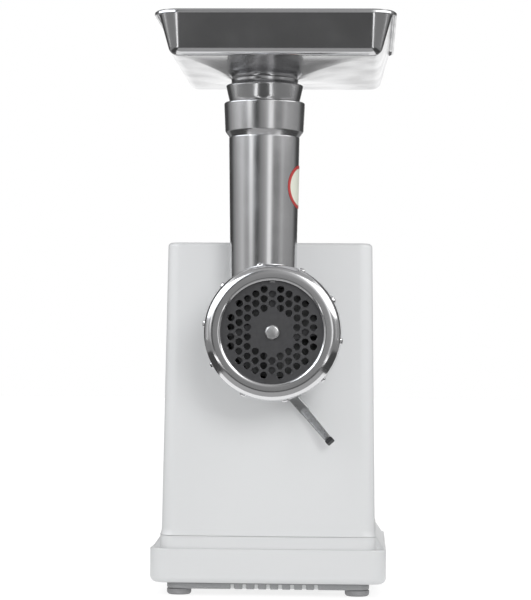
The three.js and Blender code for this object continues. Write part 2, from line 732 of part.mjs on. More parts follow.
function gearboxScrew() {
  const seat = gearbox.front - gap;
  const headEnd = seat - 2.6;
  return turned([[0, headEnd], [3.6, headEnd], [3.6, seat], [1.6, seat], [1.6, 36], [0, 36]], round.tiny);
}

// The driven gear's gap faces the driving gear's tooth on the line between their axes.
function meshAngle(from, to) {
  return Math.atan2(to.y - from.y, to.x - from.x);
}

function facingGap(from, to, teeth) {
  return meshAngle(to, from) + Math.PI / teeth;
}

function spindleSolid() {
  const body = turned(
    [[0, 4], [10.8, 4], [11.5, 5], [11.5, outputGear.to], [8, outputGear.to], [8, 53], [0, 53]],
    round.middle,
  );
  return cut(body, prism(6, 8, 3, 23));
}

add(machine, 'gearbox_case', gearboxCase(), castAluminium);
add(machine, 'gearbox_cover', gearboxCover(), castAluminium);
earPlaces.forEach((place, i) => {
  add(machine, 'gearbox_screw_' + (i + 1), gearboxScrew(), plainSteel).position.set(place.x, 0, place.y);
});
add(idler, 'idler_axle', rod(4, gearbox.front, gearbox.back), plainSteel);
add(output, 'output_bush_front', tube(15, 11.8, gearbox.front + 0.2, 25, round.middle), bronze);
add(output, 'output_bush_rear', tube(12, 8.3, 45, 53.4, round.middle), bronze);
add(output, 'output_spindle', spindleSolid(), plainSteel);
const outputGap = facingGap(idlerAxis, outputAxis, outputGear.teeth);
const idlerGap = facingGap(motorAxis, idlerAxis, idlerWheel.teeth);
add(output, 'output_gear', gear(outputGear, 11.8, outputGap), plainSteel);
add(idler, 'idler_wheel', gear(idlerWheel, 4.3, idlerGap), creamPlastic);
add(idler, 'idler_pinion', gear(idlerPinion, 4.3, meshAngle(idlerAxis, outputAxis)), plainSteel);
add(drive, 'motor_pinion', gear(motorPinion, 2.8, meshAngle(motorAxis, idlerAxis)), plainSteel);

// ---------------------------------------------------------------- motor

const motorMiddle = (motor.front + motor.back) / 2;

function statorSolid() {
  const { front, back, half } = motor;
  const outline = platedY(flat(ring(2 * half, 2 * half, 14, 0, 0, 0, 4)), front, back);
  const cavity = platedY(flat(ring(2 * pole.outer, 2 * pole.outer, 3, 0, 0, 0, 2)), front - 1, back + 1);
  const length = back - front;
  const poles = [-1, 1].flatMap((side) => {
    const root = (pole.inner + pole.outer + 1) / 2;
    const tip = (pole.inner + pole.tip) / 2;
    return [
      box(pole.outer + 1 - pole.inner, length, 2 * pole.half, side * root, motorMiddle, 0),
      box(pole.tip - pole.inner, length, 2 * pole.tipHalf, side * tip, motorMiddle, 0),
    ];
  });
  const bore = rod(motor.core + 0.7, front - 1, back + 1, round.middle);
  return cut(cut(outline, cavity).add(join(...poles)), bore, ...boltHoles(front - 1, back + 1));
}

// One field coil: a frame of wire round a pole, with its end turns in front of and behind the core.
function coilSolid(side) {
  const length = motor.back - motor.front;
  const middle = (coil.inner + coil.outer) / 2;
  const thick = coil.outer - coil.inner;
  const outline = flat(ring(2 * coil.half, length + 2 * coil.overhang, 8, 0, 0, 0, 3));
  const frame = new THREE.ExtrudeGeometry(outline, { depth: thick, bevelEnabled: false });
  frame.translate(0, 0, -thick / 2);
  const opening = box(2 * (pole.half + gap), length + 2 * gap, 3 * thick);
  return cut(frame, opening).rotate([0, 90, 0]).translate([side * middle, motorMiddle, 0]);
}

function bracketSolid(from, to, hubTo) {
  const boss = rod(bearing.outer + 3, from, hubTo, round.middle);
  const seat = rod(bearing.outer + gap, from - 1, hubTo + 1, round.middle);
  return cut(join(boltBar(from, to), boss), seat, ...boltHoles(from - 1, to + 1));
}

function bearingRing(from, to) {
  return tube(bearing.outer, motor.shaft + gap, from, to, round.small);
}

function fanSolid() {
  const hub = tube(9, motor.shaft + gap, 71, 80, round.small);
  const disc = tube(31, 8, 78.4, 80, round.middle);
  const blade = (i) => box(22, 8, 1.4, 19, 75, 0).rotateY((i * 2 * Math.PI) / 7);
  const blades = Array.from({ length: 7 }, (_, i) => blade(i));
  return join(hub, disc, ...blades);
}

function brushHolder(side) {
  const sleeve = box(16, 9, 11, side * 24, brush.y, 0);
  const bracket = box(9, 10, 11, side * 26, brush.y + 6, 0);
  return cut(join(sleeve, bracket), box(40, brush.wide + 0.6, brush.tall + 0.6, side * 24, brush.y, 0));
}

function shaftSolid() {
  const radius = motor.shaft;
  return turned([[0, 40], [2.5, 40], [2.5, 52], [radius, 52], [radius, 163], [0, 163]], round.small);
}

add(drive, 'stator_core', statorSolid(), lamination);
add(drive, 'field_coil_left', coilSolid(-1), copper);
add(drive, 'field_coil_right', coilSolid(1), copper);
add(drive, 'motor_front_bracket', bracketSolid(62, 65, 69.5), castAluminium);
add(drive, 'motor_rear_bracket', bracketSolid(155, 158, 161.5), castAluminium);
add(drive, 'motor_front_bearing', bearingRing(bearing.front, bearing.front + 7), plainSteel);
add(drive, 'motor_rear_bearing', bearingRing(bearing.rear, bearing.rear + 6), plainSteel);
add(drive, 'motor_shaft', shaftSolid(), plainSteel);
add(drive, 'armature_core', tube(motor.core, motor.shaft + gap, 86, 128, round.middle), lamination);
add(drive, 'commutator', tube(motor.commutator, motor.shaft + gap, 135, 151, round.middle), copper);
add(drive, 'cooling_fan', fanSolid(), blackPlastic);
[['left', -1], ['right', 1]].forEach(([name, side], i) => {
  const middle = motor.commutator + gap + brush.length / 2;
  const block = box(brush.length, brush.wide, brush.tall, side * middle, brush.y, 0);
  add(drive, 'brush_' + name, block, carbon);
  add(drive, 'brush_holder_' + name, brushHolder(side), bronze);
  const bolt = add(drive, 'motor_bolt_' + name, rod(2.2, gearbox.floor + 0.5, 162, round.tiny), plainSteel);
  bolt.position.set(boltPlaces[i].x, 0, boltPlaces[i].y);
});

// ---------------------------------------------------------------- switch and cord entry

function switchBody() {
  const wallX = -wallAt(rocker.z);
  const bezel = box(2.2, 31, 37, wallX - 1.4, rocker.y, rocker.z);
  const can = box(24, 25.6, 31.6, wallX + 10, rocker.y, rocker.z);
  const well = box(16, rocker.wide + 1.6, rocker.tall + 3, wallX - 2, rocker.y, rocker.z);
  return cut(join(bezel, can), well);
}

function rockerSolid() {
  const wallX = -wallAt(rocker.z);
  const half = rocker.tall / 2;
  const side = new THREE.Shape();
  side.moveTo(-2.4, -half);
  side.quadraticCurveTo(-1.2, 0, -2.4, half);
  side.lineTo(3.2, half - 1.5);
  side.lineTo(5.2, 0);
  side.lineTo(3.2, -half + 1.5);
  const body = platedY(side, rocker.y - rocker.wide / 2, rocker.y + rocker.wide / 2);
  return body.translate(wallX - 1.2, 0, rocker.z);
}

function glandSolid() {
  const back = housing.depth;
  const inner = back - housing.wall - gap;
  const { neck: waist, flange, cord } = gland;
  return turned(
    [
      [cord, inner - 2.4], [flange, inner - 2.4], [flange, inner], [waist, inner], [waist, back + gap],
      [flange, back + gap], [flange - 0.9, back + 4], [flange - 3.5, back + 10], [cord, back + 10],
      [cord, inner - 2.4],
    ],
    round.small,
  );
}

add(machine, 'switch_body', switchBody(), blackPlastic);
add(machine, 'switch_rocker', rockerSolid(), blackPlastic);
add(machine, 'cord_gland', glandSolid(), blackPlastic).position.set(gland.x, 0, gland.z);

// ---------------------------------------------------------------- origin: middle of the footprint

const footprint = new THREE.Box3().setFromObject(machine).getCenter(new THREE.Vector3());
machine.position.set(-footprint.x, -footprint.y, 0);

export default machine;
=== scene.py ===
"""The looks of an electric meat grinder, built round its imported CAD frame."""

import math

import bmesh
import bpy
from bpy.props import FloatProperty, FloatVectorProperty, IntProperty, PointerProperty
from bpy.types import Operator, Panel, PropertyGroup
from mathutils import Matrix, Quaternion, Vector


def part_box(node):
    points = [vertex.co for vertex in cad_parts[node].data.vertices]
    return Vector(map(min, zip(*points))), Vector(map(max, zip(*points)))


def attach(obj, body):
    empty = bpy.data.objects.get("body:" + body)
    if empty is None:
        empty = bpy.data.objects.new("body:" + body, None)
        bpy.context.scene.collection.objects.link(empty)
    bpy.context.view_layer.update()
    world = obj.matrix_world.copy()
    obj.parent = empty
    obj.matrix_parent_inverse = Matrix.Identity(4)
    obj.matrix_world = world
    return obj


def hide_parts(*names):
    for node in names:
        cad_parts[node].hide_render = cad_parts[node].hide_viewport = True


bl_info = {
    "name": "Meat grinder",
    "version": (1, 0, 0),
    "blender": (4, 5, 0),
    "location": "3D View > Sidebar > Grinder",
    "description": "Builds the finished pieces of an electric meat grinder round its frame",
    "category": "Add Mesh",
}

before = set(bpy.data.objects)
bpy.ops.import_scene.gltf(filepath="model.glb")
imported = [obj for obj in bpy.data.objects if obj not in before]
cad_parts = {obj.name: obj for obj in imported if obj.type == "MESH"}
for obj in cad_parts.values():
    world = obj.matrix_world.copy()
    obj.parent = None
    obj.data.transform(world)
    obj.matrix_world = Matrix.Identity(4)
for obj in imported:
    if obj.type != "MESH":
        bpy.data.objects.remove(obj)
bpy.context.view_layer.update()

# ---------------------------------------------------------------- places and sizes, in millimetres
# Pieces are drawn with x = 0 in the middle of the housing, y = 0 on its front face and z = 0 on the
# table. ORIGIN is that point in the frame.

MM = 0.001
BASE_OVERHANG = 2.0  # the base stands this far in front of the housing


def corners(node):
    """Lowest and highest corner of a CAD node in the machine's own millimetres."""
    low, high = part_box(node)
    return (low - ORIGIN) / MM, (high - ORIGIN) / MM


_base_low, _base_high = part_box("base_shell")
ORIGIN = Vector(((_base_low.x + _base_high.x) / 2, _base_low.y + BASE_OVERHANG * MM, 0.0))

SHELL_LOW, SHELL_HIGH = corners("housing_shell")
BASE_LOW, BASE_HIGH = corners("base_shell")
COVER_LOW, COVER_HIGH = corners("bottom_cover")
NUT_LOW, NUT_HIGH = corners("ring_nut")
PLATE_LOW, PLATE_HIGH = corners("cutting_plate")
TRAY_LOW, TRAY_HIGH = corners("tray")
SPINDLE_LOW, SPINDLE_HIGH = corners("output_spindle")
LEVER_STUD_LOW, LEVER_STUD_HIGH = corners("clamp_stud")

AXIS_X = (SPINDLE_LOW.x + SPINDLE_HIGH.x) / 2  # the auger's axis runs along y through here
AXIS_Z = (SPINDLE_LOW.z + SPINDLE_HIGH.z) / 2
AXIS = Vector((AXIS_X, 0, AXIS_Z))
NECK_OFFSET = -8.1
NECK = Vector((AXIS_X + NECK_OFFSET, -44, 0))  # the neck's axis runs upright through here
STUD = Vector((
    (LEVER_STUD_LOW.x + LEVER_STUD_HIGH.x) / 2, 0, (LEVER_STUD_LOW.z + LEVER_STUD_HIGH.z) / 2,
))
SKIRT = 1.2  # how far the housing's lower lip flares
BASE_BOTTOM = 8.4
SHOULDER = 31.3  # height of the base's ledge
PLINTH_TOP = 39.35
NECK_FOOT, NECK_FOOT_RADIUS = 174.4, 20.65
NECK_HEAD, NECK_HEAD_RADIUS = 297.4, 22.72


def middle(low, high):
    return (low + high) / 2


def neck_radius(z):
    share = (z - NECK_FOOT) / (NECK_HEAD - NECK_FOOT)
    return NECK_FOOT_RADIUS + (NECK_HEAD_RADIUS - NECK_FOOT_RADIUS) * share


# ---------------------------------------------------------------- settings


class HousingSettings(PropertyGroup):
    width: FloatProperty(
        name="Width", description="Width of the housing at its foot, in millimetres",
        default=SHELL_HIGH.x - SHELL_LOW.x - 2 * SKIRT,
    )
    top_width: FloatProperty(
        name="Top width", description="Width of the housing at its top, in millimetres", default=135.4,
    )
    corner: FloatProperty(
        name="Corner", description="Radius of the housing's upright corners, in millimetres", default=9.0,
    )
    edge: FloatProperty(
        name="Top edge", description="Radius of the edge round the top, in millimetres", default=2.6,
    )
    vents: IntProperty(name="Vents", description="Slots in the back wall", default=7, min=0)
    plastic: FloatVectorProperty(
        name="White plastic", description="Colour of the housing and the base", subtype="COLOR",
        default=(0.545, 0.552, 0.558), min=0, max=1,
    )
    underside: FloatVectorProperty(
        name="Grey plastic", description="Colour of the cover under the base", subtype="COLOR",
        default=(0.27, 0.275, 0.28), min=0, max=1,
    )


class HeadSettings(PropertyGroup):
    holes: FloatProperty(
        name="Hole size", description="Diameter of the plate's holes, in millimetres", default=4.3,
    )
    pitch: FloatProperty(
        name="Hole pitch", description="Distance between the plate's holes, in millimetres", default=5.9,
    )
    ribs: IntProperty(name="Ribs", description="Grip ribs round the ring nut", default=10, min=0)
    metal: FloatVectorProperty(
        name="Polished metal", description="Colour of the head and the ring nut", subtype="COLOR",
        default=(0.70, 0.70, 0.71), min=0, max=1,
    )
    plate: FloatVectorProperty(
        name="Plate steel", description="Colour of the cutting plate", subtype="COLOR",
        default=(0.16, 0.16, 0.165), min=0, max=1,
    )


class TraySettings(PropertyGroup):
    sheet: FloatProperty(
        name="Sheet", description="Thickness of the tray's metal, in millimetres", default=1.3,
    )
    metal: FloatVectorProperty(
        name="Tray metal", description="Colour of the tray", subtype="COLOR",
        default=(0.66, 0.66, 0.67), min=0, max=1,
    )


# ---------------------------------------------------------------- shaping with bmesh


def turned(profile, axis="Y", centre=(0, 0, 0), steps=96):
    """A profile of (radius, place along the axis) pairs spun a full turn about an axis through centre."""
    bm = bmesh.new()
    along_y = axis == "Y"
    points = [(r, place, 0) if along_y else (r, 0, place) for r, place in profile]
    verts = [bm.verts.new(point) for point in points]
    edges = [bm.edges.new(pair) for pair in zip(verts, verts[1:])]
    turn = (0, 1, 0) if along_y else (0, 0, 1)
    bmesh.ops.spin(
        bm, geom=verts + edges, cent=(0, 0, 0), axis=turn, angle=math.tau, steps=steps, use_merge=True,
    )
    bmesh.ops.remove_doubles(bm, verts=bm.verts, dist=1e-4)
    bmesh.ops.recalc_face_normals(bm, faces=bm.faces)
    bmesh.ops.translate(bm, vec=Vector(centre), verts=bm.verts)
    return bm


def disc_profile(radius, start, end):
    return [(0, start), (radius, start), (radius, end), (0, end)]


def block(size, centre, bevel=0.0, segments=3):
    """A box, with every edge rounded where a bevel is given."""
    bm = bmesh.new()
    bmesh.ops.create_cube(bm, size=1)
    bmesh.ops.scale(bm, vec=size, verts=bm.verts)
    if bevel:
        bmesh.ops.bevel(
            bm, geom=bm.edges, offset=bevel, segments=segments, profile=0.5, affect="EDGES", material=-1,
        )
    bmesh.ops.translate(bm, vec=Vector(centre), verts=bm.verts)
    return bm


def outline_point(share, width, depth, radius):
    """A point on a rounded rectangle. Corners and sides take equal shares of each quarter turn."""
    quarter = math.floor(share * 4) % 4
    rest = share * 4 - math.floor(share * 4)
    arc = 0.5  # the corner's part of the quarter; the two half sides take the rest
    sign_x = (1, -1, -1, 1)[quarter]
    sign_y = (1, 1, -1, -1)[quarter]
    cx, cy = width / 2 - radius, depth / 2 - radius
    lead = (1 - arc) / 2
    if quarter % 2:
        rest = 1 - rest
    if rest < lead:
        x, y = width / 2, cy * rest / lead
    elif rest > 1 - lead:
        x, y = cx * (1 - rest) / lead, depth / 2
    else:
        angle = (rest - lead) / arc * math.pi / 2
        x, y = cx + radius * math.cos(angle), cy + radius * math.sin(angle)
    return Vector((sign_x * x, sign_y * y, 0))


def circle_point(share, radius):
    return Vector((radius * math.cos(math.tau * share), radius * math.sin(math.tau * share), 0))


def lofted(levels, count=96, capped=True):
    """A skin through a stack of loops. A level is (outline function, centre, height)."""
    bm = bmesh.new()
    made = bmesh.ops.create_circle(bm, cap_ends=False, radius=1, segments=count)["verts"]
    loop = sorted(made, key=lambda v: math.atan2(v.co.y, v.co.x) % math.tau)

    def settle(verts, level):
        outline, centre, height = level
        for i, vert in enumerate(verts):
            vert.co = Vector((centre[0], centre[1], height)) + outline(i / count)

    settle(loop, levels[0])
    first = list(loop)
    for level in levels[1:]:
        edges = [bm.edges.get((loop[i], loop[(i + 1) % count])) for i in range(count)]
        grown = bmesh.ops.extrude_edge_only(bm, edges=edges)["geom"]
        new = {v for v in grown if isinstance(v, bmesh.types.BMVert)}
        loop = [next(e.other_vert(v) for e in v.link_edges if e.other_vert(v) in new) for v in loop]
        settle(loop, level)
    if capped:
        for ends in (first, loop):
            bmesh.ops.contextual_create(bm, geom=ends)
    bmesh.ops.recalc_face_normals(bm, faces=bm.faces)
    return bm


def rounded(width, depth, radius):
    return lambda share: outline_point(share, width, depth, radius)


def circular(radius):
    return lambda share: circle_point(share, radius)


def moved(bm, matrix):
    bmesh.ops.transform(bm, matrix=matrix, verts=bm.verts)
    return bm


def stand_in(bm):
    """A passing object for a modifier to read."""
    mesh = bpy.data.meshes.new("passing")
    bm.to_mesh(mesh)
    bm.free()
    made = bpy.data.objects.new("passing", mesh)
    bpy.context.scene.collection.objects.link(made)
    return made


def carved(bm, operation, tools):
    """bm with every tool cut from it, or joined to it, as one closed surface."""
    body = stand_in(bm)
    others = [stand_in(tool) for tool in tools]
    for other in others:
        step = body.modifiers.new("carve", "BOOLEAN")
        step.operation = operation
        step.solver = "EXACT"
        step.object = other
    graph = bpy.context.evaluated_depsgraph_get()
    mesh = bpy.data.meshes.new_from_object(body.evaluated_get(graph))
    result = bmesh.new()
    result.from_mesh(mesh)
    for passing in [body, *others]:
        data = passing.data
        bpy.data.objects.remove(passing)
        bpy.data.meshes.remove(data)
    bpy.data.meshes.remove(mesh)
    bmesh.ops.remove_doubles(result, verts=result.verts, dist=1e-4)
    bmesh.ops.dissolve_degenerate(result, dist=1e-5, edges=result.edges)
    return result


def piece(name, bm, material, body, nodes, bevel=0.0, segments=2, sharp=35):
    """Turns a bmesh drawn in millimetres into a finished piece that rides on a body."""
    bmesh.ops.scale(bm, vec=(MM, MM, MM), verts=bm.verts)
    bmesh.ops.translate(bm, vec=ORIGIN, verts=bm.verts)
    mesh = bpy.data.meshes.new(name)
    bm.to_mesh(mesh)
    bm.free()
    made = bpy.data.objects.new(name, mesh)
    bpy.context.scene.collection.objects.link(made)
    mesh.materials.append(material)
    mesh.shade_smooth()
    mesh.set_sharp_from_angle(angle=math.radians(sharp))
    if bevel:
        edge = made.modifiers.new("edges", "BEVEL")
        edge.width = bevel * MM
        edge.segments = segments
        edge.limit_method = "ANGLE"
        edge.angle_limit = math.radians(sharp)
        edge.use_clamp_overlap = True
        edge.harden_normals = False
    even = made.modifiers.new("even shading", "WEIGHTED_NORMAL")
    even.keep_sharp = True
    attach(made, body)
    if nodes:
        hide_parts(*nodes)
    return made


# ---------------------------------------------------------------- materials


class Surface:
    """A node material that starts as a Principled shader read in Object coordinates."""

    def __init__(self, name, colour, roughness, metallic=0.0, specular=0.5, coat=0.0):
        self.material = bpy.data.materials.new(name)
        self.material.use_nodes = True
        self.tree = self.material.node_tree
        self.shader = self.tree.nodes["Principled BSDF"]
        self.shader.inputs["Base Color"].default_value = (*colour, 1)
        self.shader.inputs["Roughness"].default_value = roughness
        self.shader.inputs["Metallic"].default_value = metallic
        self.shader.inputs["Specular IOR Level"].default_value = specular
        self.shader.inputs["Coat Weight"].default_value = coat
        self.colour, self.roughness = colour, roughness
        self.place = self.node("ShaderNodeTexCoord").outputs["Object"]
        self.height = None

    def node(self, kind, **settings):
        made = self.tree.nodes.new(kind)
        for name, value in settings.items():
            setattr(made, name, value)
        return made

    def link(self, source, target):
        self.tree.links.new(source, target)

    def mapped(self, scale=(1, 1, 1), location=(0, 0, 0), rotation=(0, 0, 0)):
        mapping = self.node("ShaderNodeMapping")
        self.link(self.place, mapping.inputs["Vector"])
        mapping.inputs["Scale"].default_value = scale
        mapping.inputs["Location"].default_value = location
        mapping.inputs["Rotation"].default_value = rotation
        return mapping.outputs["Vector"]

    def noise(self, scale, detail=3.0, stretch=(1, 1, 1), roughness=0.5):
        texture = self.node("ShaderNodeTexNoise")
        self.link(self.mapped(scale=stretch), texture.inputs["Vector"])
        texture.inputs["Scale"].default_value = scale
        texture.inputs["Detail"].default_value = detail
        texture.inputs["Roughness"].default_value = roughness
        return texture.outputs["Fac"]

    def between(self, factor, low, high, start=0.3, end=0.7):
        """A number that goes from low to high as factor goes from start to end."""
        spread = self.node("ShaderNodeMapRange")
        self.link(factor, spread.inputs["Value"])
        spread.inputs["From Min"].default_value = start
        spread.inputs["From Max"].default_value = end
        spread.inputs["To Min"].default_value = low
        spread.inputs["To Max"].default_value = high
        return spread.outputs["Result"]

    def tint(self, factor, other, start=0.35, end=0.65):
        """The colour moves from its own to the other as factor goes from start to end."""
        mix = self.node("ShaderNodeMix", data_type="RGBA")
        self.link(self.between(factor, 0, 1, start, end), mix.inputs["Factor"])
        source = self.shader.inputs["Base Color"]
        if source.is_linked:
            self.link(source.links[0].from_socket, mix.inputs["A"])
        else:
            mix.inputs["A"].default_value = (*self.colour, 1)
        mix.inputs["B"].default_value = (*other, 1)
        self.link(mix.outputs["Result"], self.shader.inputs["Base Color"])

    def vary_roughness(self, factor, low, high):
        self.link(self.between(factor, low, high), self.shader.inputs["Roughness"])

    def bump(self, factor, distance, strength=1.0):
        """Adds relief of a height in metres over any relief already there."""
        relief = self.node("ShaderNodeBump")
        self.link(factor, relief.inputs["Height"])
        relief.inputs["Distance"].default_value = distance
        relief.inputs["Strength"].default_value = strength
        if self.height is not None:
            self.link(self.height, relief.inputs["Normal"])
        self.height = relief.outputs["Normal"]
        self.link(self.height, self.shader.inputs["Normal"])


def shade(colour, by):
    return tuple(min(1.0, c * by) for c in colour)


def moulded_white(name, colour):
    """Glossy white moulding: faint orange peel and slightly uneven gloss."""
    made = Surface(name, colour, 0.32, specular=0.5)
    made.vary_roughness(made.noise(28, 4), 0.29, 0.36)
    made.tint(made.noise(6, 2), shade(colour, 0.99), 0.3, 0.8)
    made.bump(made.noise(900, 2), 0.00002, 0.25)
    return made.material


def grained_plastic(name, colour, roughness=0.55):
    """Spark-eroded grain, as on the underside and the switch."""
    made = Surface(name, colour, roughness)
    grain = made.noise(2600, 3, roughness=0.7)
    made.tint(grain, shade(colour, 0.82))
    made.vary_roughness(made.noise(60, 3), roughness - 0.07, roughness + 0.08)
    made.bump(grain, 0.00004, 0.6)
    return made.material


def soft_rubber(name, colour):
    made = Surface(name, colour, 0.8, specular=0.3)
    dust = made.noise(160, 5)
    made.tint(dust, shade(colour, 1.25), 0.45, 0.8)
    made.vary_roughness(dust, 0.7, 0.9)
    made.bump(made.noise(1500, 3), 0.00005, 0.5)
    return made.material


def polished(name, colour, roughness, lay, waves=0.1, scratches=0.35):
    """Buffed metal. lay stretches the buffing marks along the way that the wheel ran."""
    made = Surface(name, colour, roughness, metallic=1.0)
    marks = made.noise(900, 4, stretch=lay, roughness=0.65)
    made.vary_roughness(made.noise(45, 4), roughness * 0.8, roughness * 1.35)
    made.tint(made.noise(16, 3), shade(colour, 0.93))
    made.bump(marks, 0.000006, scratches)
    made.bump(made.noise(30, 2), 0.00025, waves)
    return made.material


def turned_steel(name, colour, roughness, axis):
    """Steel with fine rings from the lathe round its own axis."""
    made = Surface(name, colour, roughness, metallic=1.0)
    shift = (-(ORIGIN.x + axis.x * MM), 0, -(ORIGIN.z + axis.z * MM))
    centred = made.mapped(location=shift)
    rings = made.node("ShaderNodeTexWave", wave_type="RINGS", rings_direction="Y")
    made.link(centred, rings.inputs["Vector"])
    rings.inputs["Scale"].default_value = 900
    rings.inputs["Distortion"].default_value = 1.4
    rings.inputs["Detail"].default_value = 2
    rings.inputs["Detail Scale"].default_value = 3
    made.bump(rings.outputs["Fac"], 0.00001, 0.35)
    stain = made.noise(120, 5)
    made.tint(stain, shade(colour, 0.72), 0.42, 0.7)
    made.vary_roughness(stain, roughness * 0.85, roughness * 1.3)
    made.bump(made.noise(1800, 3), 0.00001, 0.4)
    return made.material


def cast_metal(name, colour, roughness):
    """Blasted casting with a fine, slightly uneven skin."""
    made = Surface(name, colour, roughness, metallic=1.0)
    skin = made.noise(1100, 4, roughness=0.6)
    made.tint(made.noise(40, 4), shade(colour, 0.86))
    made.vary_roughness(made.noise(150, 3), roughness * 0.85, roughness * 1.2)
    made.bump(skin, 0.00004, 0.5)
    return made.material


def nylon(name, colour):
    made = Surface(name, colour, 0.45)
    made.tint(made.noise(70, 3), shade(colour, 0.9))
    made.vary_roughness(made.noise(40, 3), 0.38, 0.55)
    made.bump(made.noise(700, 2), 0.00003, 0.3)
    return made.material


def wound_copper(name, colour):
    """Enamelled wire, lying in turns along y."""
    made = Surface(name, colour, 0.28, metallic=1.0)
    turns = made.node("ShaderNodeTexWave", bands_direction="X")
    made.link(made.mapped(), turns.inputs["Vector"])
    turns.inputs["Scale"].default_value = 420
    turns.inputs["Distortion"].default_value = 0.4
    made.bump(turns.outputs["Fac"], 0.0003, 0.8)
    made.tint(made.noise(90, 3), shade(colour, 0.7))
    return made.material


def laminated(name, colour):
    """Varnished steel sheets stacked along y."""
    made = Surface(name, colour, 0.42, metallic=1.0)
    sheets = made.node("ShaderNodeTexWave", bands_direction="Y")
    made.link(made.mapped(), sheets.inputs["Vector"])
    sheets.inputs["Scale"].default_value = 310
    made.bump(sheets.outputs["Fac"], 0.0002, 0.7)
    made.tint(made.noise(60, 4), shade(colour, 0.7))
    return made.material


def sticker(name):
    """A pale round label with a plain red border. Its mesh holds each place's reach from its middle."""
    made = Surface(name, (0.56, 0.58, 0.50), 0.35)
    reach = made.node("ShaderNodeAttribute", attribute_name="reach").outputs["Fac"]
    made.tint(reach, (0.36, 0.03, 0.028), 0.83, 0.86)
    made.vary_roughness(made.noise(200, 3), 0.3, 0.45)
    return made.material


FINISHES = {}


class GRINDER_OT_materials(Operator):
    """Make every finish of the machine"""

    bl_idname = "grinder.materials"
    bl_label = "Materials"

    def execute(self, context):
        housing, head, tray = context.scene.grinder_housing, context.scene.grinder_head, context.scene.grinder_tray
        upright, round_y, long_y = (1, 1, 0.04), (1, 0.06, 1), (1, 0.03, 1)
        FINISHES.update(
            white=moulded_white("White moulding", tuple(housing.plastic)),
            grey=grained_plastic("Grey underside", tuple(housing.underside), 0.6),
            black=grained_plastic("Black plastic", (0.018, 0.018, 0.02), 0.45),
            rubber=soft_rubber("Foot rubber", (0.21, 0.21, 0.215)),
            neck=polished("Polished head", tuple(head.metal), 0.17, upright, 0.05),
            nut=polished("Polished nut", shade(head.metal, 1.06), 0.12, round_y),
            tray=polished("Polished tray", tuple(tray.metal), 0.14, long_y, 0.02, 0.1),
            plate=turned_steel("Plate steel", tuple(head.plate), 0.36, AXIS),
            pin=turned_steel("Pin steel", (0.62, 0.62, 0.625), 0.34, AXIS),
            # The knife's colour is painted shade: its steel is darkened far below bare steel to stand for the shadow
            # inside the head, seen through the plate's holes.
            knife=turned_steel("Knife steel darkened as painted shade", (0.13, 0.13, 0.135), 0.3, AXIS),
            cast=cast_metal("Cast metal", (0.46, 0.465, 0.47), 0.34),
            # The auger's colour is painted shade: its metal is darkened to stand for the shadow inside the head's
            # barrel.
            screw=cast_metal("Screw metal darkened as painted shade", (0.22, 0.222, 0.225), 0.36),
            lever=cast_metal("Lever metal", (0.40, 0.405, 0.41), 0.3),
            steel=turned_steel("Machined steel", (0.48, 0.485, 0.49), 0.3, AXIS),
            nylon=nylon("Gear nylon", (0.68, 0.64, 0.54)),
            copper=wound_copper("Winding copper", (0.55, 0.2, 0.08)),
            lamination=laminated("Core sheets", (0.2, 0.21, 0.22)),
            bronze=turned_steel("Sintered bronze", (0.42, 0.29, 0.13), 0.42, AXIS),
            carbon=grained_plastic("Pressed carbon", (0.03, 0.03, 0.032), 0.7),
        )
        return {"FINISHED"}


# ---------------------------------------------------------------- housing and base


def wall_width(z, low_width, top_width):
    share = (z - SHELL_LOW.z) / (SHELL_HIGH.z - SHELL_LOW.z)
    return low_width + (top_width - low_width) * share


def housing_shape(width, top_width, corner, edge, vents):
    """The shell: a tapered box, open below, with a flared lip and rounded top edges."""
    depth = SHELL_HIGH.y - SHELL_LOW.y - 2 * SKIRT
    bottom, top = SHELL_LOW.z, SHELL_HIGH.z
    centre = (0, depth / 2)

    def level(z, grow):
        across = wall_width(z, width, top_width) + 2 * grow
        return rounded(across, depth + 2 * grow, corner + grow), centre, z

    flare = [
        level(bottom + 5.0 * (i / 5), SKIRT * (1 - math.sin(math.pi / 2 * i / 5)) if i else SKIRT)
        for i in range(6)
    ]
    turn = [
        level(top - edge * (1 - math.sin(a)), -edge * (1 - math.cos(a)))
        for a in (math.pi / 2 * i / 6 for i in range(7))
    ]
    shell = lofted([level(bottom, SKIRT - 0.4), level(bottom + 0.4, SKIRT), *flare[1:], *turn])
    inner_wall = 2.8
    hollow = lofted([level(bottom - 1, -inner_wall), level(top - inner_wall, -inner_wall)])
    tools = [
        hollow,
        turned(disc_profile(29.8, -5, 8), "Y", AXIS),
        turned(disc_profile(3.4, -5, 8), "Y", STUD, 32),
        block((20, 26.6, 32.6), (-width / 2, 112, 192)),
        turned(disc_profile(6.4, depth - 6, depth + 6), "Y", (44, 0, 62), 32),
    ]
    for i in range(vents):
        slot = block((58, 12, 3.2), (0, depth, 150 + 8 * i))
        long_edges = [e for e in slot.edges if abs(e.verts[0].co.y - e.verts[1].co.y) > 6]
        bmesh.ops.bevel(
            slot, geom=long_edges, offset=1.59, segments=5, profile=0.5, affect="EDGES", material=-1,
        )
        tools.append(slot)
    return carved(shell, "DIFFERENCE", tools)


VENT_MIDDLE, VENT_PITCH = 4.4, 7.9
VENT_PLACES = [VENT_MIDDLE + (i - 3.5) * VENT_PITCH for i in range(8)]


